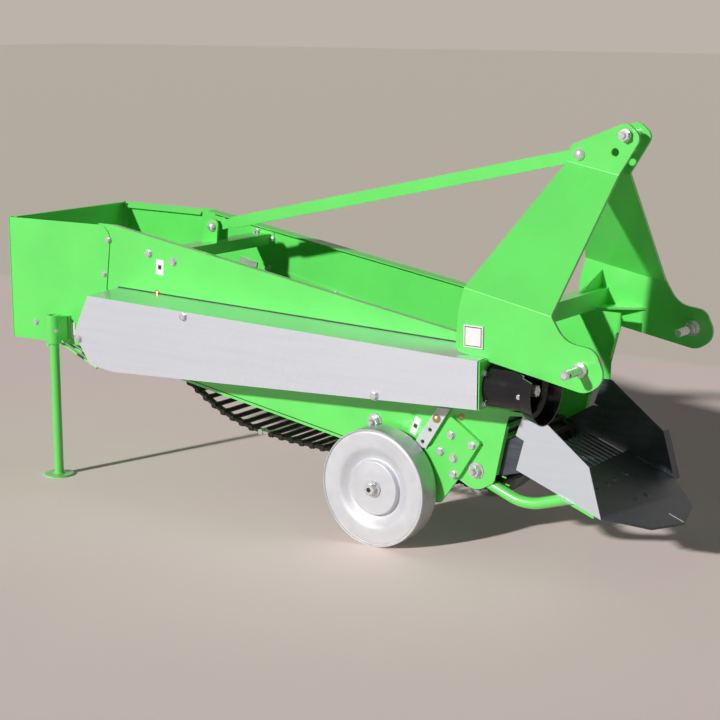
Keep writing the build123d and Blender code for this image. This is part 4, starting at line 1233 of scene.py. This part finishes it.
class DIGGER_OT_bolts(Maker):
    """Bolts, nuts and washers of the frame"""

    bl_idname = "digger.bolts"
    bl_label = "Bolts"

    # end plate of the rear beam, and the bare end of the strip that holds the liner
    beam_plate, beam_plate_y, beam_bolt_x = (0.11, 0.003, 0.058), 0.2785, 0.047
    strip, strip_x, strip_y, strip_z, strip_lean = (0.082, 0.003, 0.027), -0.629, 0.2765, 0.7395, 12.6

    def make(self, context):
        sizes = self.sizes
        bolts = bmesh.new()
        for _, sign in SIDES:
            table = BOTH_SIDES_BOLTS + (RIGHT_BOLTS if sign < 0 else ())
            for index, (node, x, z, size, kind, finish) in enumerate(table):
                place = (x, bolt_level(node, sign), z)
                add_bolt(bolts, place, (0, sign, 0), getattr(sizes, size), kind, finish, turn=index * 0.7)
            for index, (x, z, width) in enumerate(INNER_BOLTS):
                place = (x, sign * PANEL_IN, z)
                add_bolt(bolts, place, (0, -sign, 0), width, "nut", turn=index * 0.5)
            for index, (x, z) in enumerate(BOX_BOLTS):
                place = (x, box_side_y(x, sign), z)
                add_bolt(bolts, place, (0, sign, 0), sizes.small_bolt, turn=index * 0.9)
            beam = mid("rear_beam")
            end = Matrix.Translation((beam.x, sign * self.beam_plate_y, beam.z))
            add_box(bolts, self.beam_plate, end, 0.0008, 2)
            place = (beam.x + self.beam_bolt_x, sign * PANEL_IN, beam.z)
            add_bolt(bolts, place, (0, -sign, 0), sizes.small_bolt)
            strip_end = leaning((self.strip_x, sign * self.strip_y, self.strip_z), self.strip_lean)
            add_box(bolts, self.strip, strip_end, 0.0006, 3)
        finish_piece("frame_bolts", bolts, ["zinc_bolt", "brass_bolt", "green", "joiner"])


class DIGGER_OT_welds(Maker):
    """Weld beads where tubes and plates meet"""

    bl_idname = "digger.welds"
    bl_label = "Welds"

    thin = 0.003                                        # radius of the smaller beads
    cross_tube, cross_tube_z, cross_tube_y = (0.06, 0.06), 0.736, 0.3815
    beam_tube, beam_y = (0.08, 0.04), 0.2795
    cheek_beads, cheek_y = ((0.7875, 0.286), (0.8, 0.263)), 0.2595
    ear_z, ear_y = 0.8565, 0.031                        # lugs of the brace on the rear beam
    leg_r, sleeve_beads = 0.022, (0.016, 0.045)

    def square(self, beads, x, z, size, y):
        """Beads round the end of a rectangular tube."""
        w, h = size[0] / 2, size[1] / 2
        corners = ((x - w, z - h), (x + w, z - h), (x + w, z + h), (x - w, z + h))
        for (ax, az), (bx, bz) in zip(corners, corners[1:] + corners[:1]):
            add_weld(beads, (ax, y, az), (bx, y, bz), self.sizes.weld)

    def make(self, context):
        beads = bmesh.new()
        beam = mid("rear_beam")
        tube_x = low("cross_tube").x + self.cross_tube[0] / 2
        sleeve = low("stand_sleeve"), high("stand_sleeve")
        for _, sign in SIDES:
            self.square(beads, tube_x, self.cross_tube_z, self.cross_tube, sign * self.cross_tube_y)
            self.square(beads, beam.x, beam.z, self.beam_tube, sign * self.beam_y)
            y = sign * self.cheek_y
            for x, z in self.cheek_beads:
                add_weld(beads, (x, y, z - 0.02), (x + 0.01, y, z - 0.022), self.thin)
            y = sign * self.ear_y
            add_weld(beads, (beam.x - 0.03, y, self.ear_z), (beam.x + 0.036, y, self.ear_z), self.thin)
        leg = mid("stand_leg")
        start, end = (leg.y + out for out in self.sleeve_beads)
        for z in (sleeve[0].z + 0.014, sleeve[1].z - 0.01):
            for x in (leg.x - self.leg_r, leg.x + self.leg_r):
                add_weld(beads, (x, start, z), (x, end, z), self.thin)
        finish_piece("frame_welds", beads, ["green"])


# blank labels of the drive side: level y, x, z, width, height, lean in degrees, size of the dark square
LABELS = (
    (-0.284, -0.569, 0.796, 0.035, 0.053, 3.0, 0.014),
    (-0.284, 0.484, 0.387, 0.024, 0.06, 23.0, 0.013),
)


class DIGGER_OT_labels(Maker):
    """Blank white labels with their dark squares, the framed plate, and dark lines painted as the shadows
    under the panel's hem and the cover's roof
    """

    bl_idname = "digger.labels"
    bl_label = "Labels and trim"

    # width, height, height above the headstock, finish
    plate_layers = ((0.066, 0.067, 0.005, 0), (0.058, 0.059, 0.0053, 1), (0.053, 0.054, 0.0056, 0))
    plate_x, plate_z = 0.7565, 0.7205
    hem_high, hem_up = 0.003, 0.0105     # dark line above the panel's lower edge: painted shadow under the fold of the hem
    hem_fall = 0.158
    box_splay = 0.0517                   # how far the box side turns out
    decal, decal_x, decal_z = 0.058, -1.0, 0.532
    roof_gap_shadow_r = 0.0028
    hem_in = 0.02                        # how far the line stops short of the panel's ends
    roof_from, roof_fall = 0.07, 0.04

    def make(self, context):
        thick = self.sizes.label_t
        labels = bmesh.new()
        panel_y = side_face("side_panel_right", -1)
        for y, x, z, wide, high_, lean, square in LABELS:
            place = leaning((x, y - thick / 2, z), lean)
            add_box(labels, (wide, thick, high_), place)
            in_front = Matrix.Translation((0, -thick * 0.6, 0))
            add_box(labels, (square, thick, square), place @ in_front, 0.0, 1)
        turn = Matrix.Rotation(math.atan(-self.box_splay), 4, "Z")
        spot = Vector((self.decal_x, box_side_y(self.decal_x, -1) - thick * 0.8, self.decal_z))
        add_box(labels, (self.decal, thick, self.decal), Matrix.Translation(spot) @ turn)
        # plate with a dark line round its field, on a pad that stands off the headstock
        plate_y = side_face("headstock_plate_right", -1)
        for wide, high_, out, finish in self.plate_layers:
            place = leaning((self.plate_x, plate_y - out / 2, self.plate_z), 0.0)
            add_box(labels, (wide, out, high_), place, 0.0003, finish)
        finish_piece("blank_labels", labels, ["label", "mark"])

        # dark lines of painted shadow: under the fold of the panel's hem on both sides, and in the gap
        # under the cover's roof
        trim = bmesh.new()
        rear, front = low("side_panel_right"), high("side_panel_right")
        slope = self.hem_fall * (front.x - rear.x)
        short = self.hem_fall * self.hem_in
        start = Vector((rear.x + self.hem_in, 0, rear.z + self.hem_up + slope - short))
        end = Vector((front.x - self.hem_in, 0, rear.z + self.hem_up + short))
        along = end - start
        for _, sign in SIDES:
            middle = (start + end) / 2 + Vector((0, -sign * panel_y, 0))
            hem = leaning(middle, math.degrees(math.atan2(-along.z, along.x)))
            add_box(trim, (along.length, 0.0008, self.hem_high), hem)
        # dark bead along the joint of the cover's roof and the panel: painted shadow of the gap between
        # them
        cover_rear, cover_front = low("drive_cover"), high("drive_cover")
        roof_gap_shadow = [
            Vector((cover_rear.x + self.roof_from, panel_y, cover_front.z)),
            Vector((cover_front.x, panel_y, cover_front.z - self.roof_fall)),
        ]
        run = roof_gap_shadow[1] - roof_gap_shadow[0]
        add_round(trim, rod(self.roof_gap_shadow_r, 0, run.length), 12, turned_to(run, roof_gap_shadow[0]))
        finish_piece("panel_painted_shadows", trim, ["mark"])


MAKERS = (
    DIGGER_OT_stage,
    DIGGER_OT_frame,
    DIGGER_OT_cover,
    DIGGER_OT_share,
    DIGGER_OT_web,
    DIGGER_OT_drive,
    DIGGER_OT_hitch,
    DIGGER_OT_wheels,
    DIGGER_OT_stand,
    DIGGER_OT_bolts,
    DIGGER_OT_welds,
    DIGGER_OT_labels,
)


class DIGGER_PT_sidebar(bpy.types.Panel):
    """Sidebar panel that lists the digger's makers"""

    bl_idname = "DIGGER_PT_sidebar"
    bl_label = "Potato digger"
    bl_space_type = "VIEW_3D"
    bl_region_type = "UI"
    bl_category = "Digger"

    def draw(self, context):
        for maker in MAKERS:
            self.layout.operator(maker.bl_idname)
        for group in (context.scene.digger_look, context.scene.digger_sizes, context.scene.digger_stage):
            box = self.layout.box()
            for name in group.__annotations__:
                box.prop(group, name)


CLASSES = (DiggerLook, DiggerSizes, DiggerStage, *MAKERS, DIGGER_PT_sidebar)


def register():
    """Register the classes and hang their settings on the scene."""
    for cls in CLASSES:
        bpy.utils.register_class(cls)
    bpy.types.Scene.digger_look = PointerProperty(type=DiggerLook)
    bpy.types.Scene.digger_sizes = PointerProperty(type=DiggerSizes)
    bpy.types.Scene.digger_stage = PointerProperty(type=DiggerStage)


def unregister():
    """Undo register."""
    del bpy.types.Scene.digger_stage
    del bpy.types.Scene.digger_sizes
    del bpy.types.Scene.digger_look
    for cls in reversed(CLASSES):
        bpy.utils.unregister_class(cls)


def main():
    """Make the whole dressed digger."""
    register()
    for maker in MAKERS:
        group, name = maker.bl_idname.split(".")
        getattr(getattr(bpy.ops, group), name)()


if __name__ == "__main__":
    main()
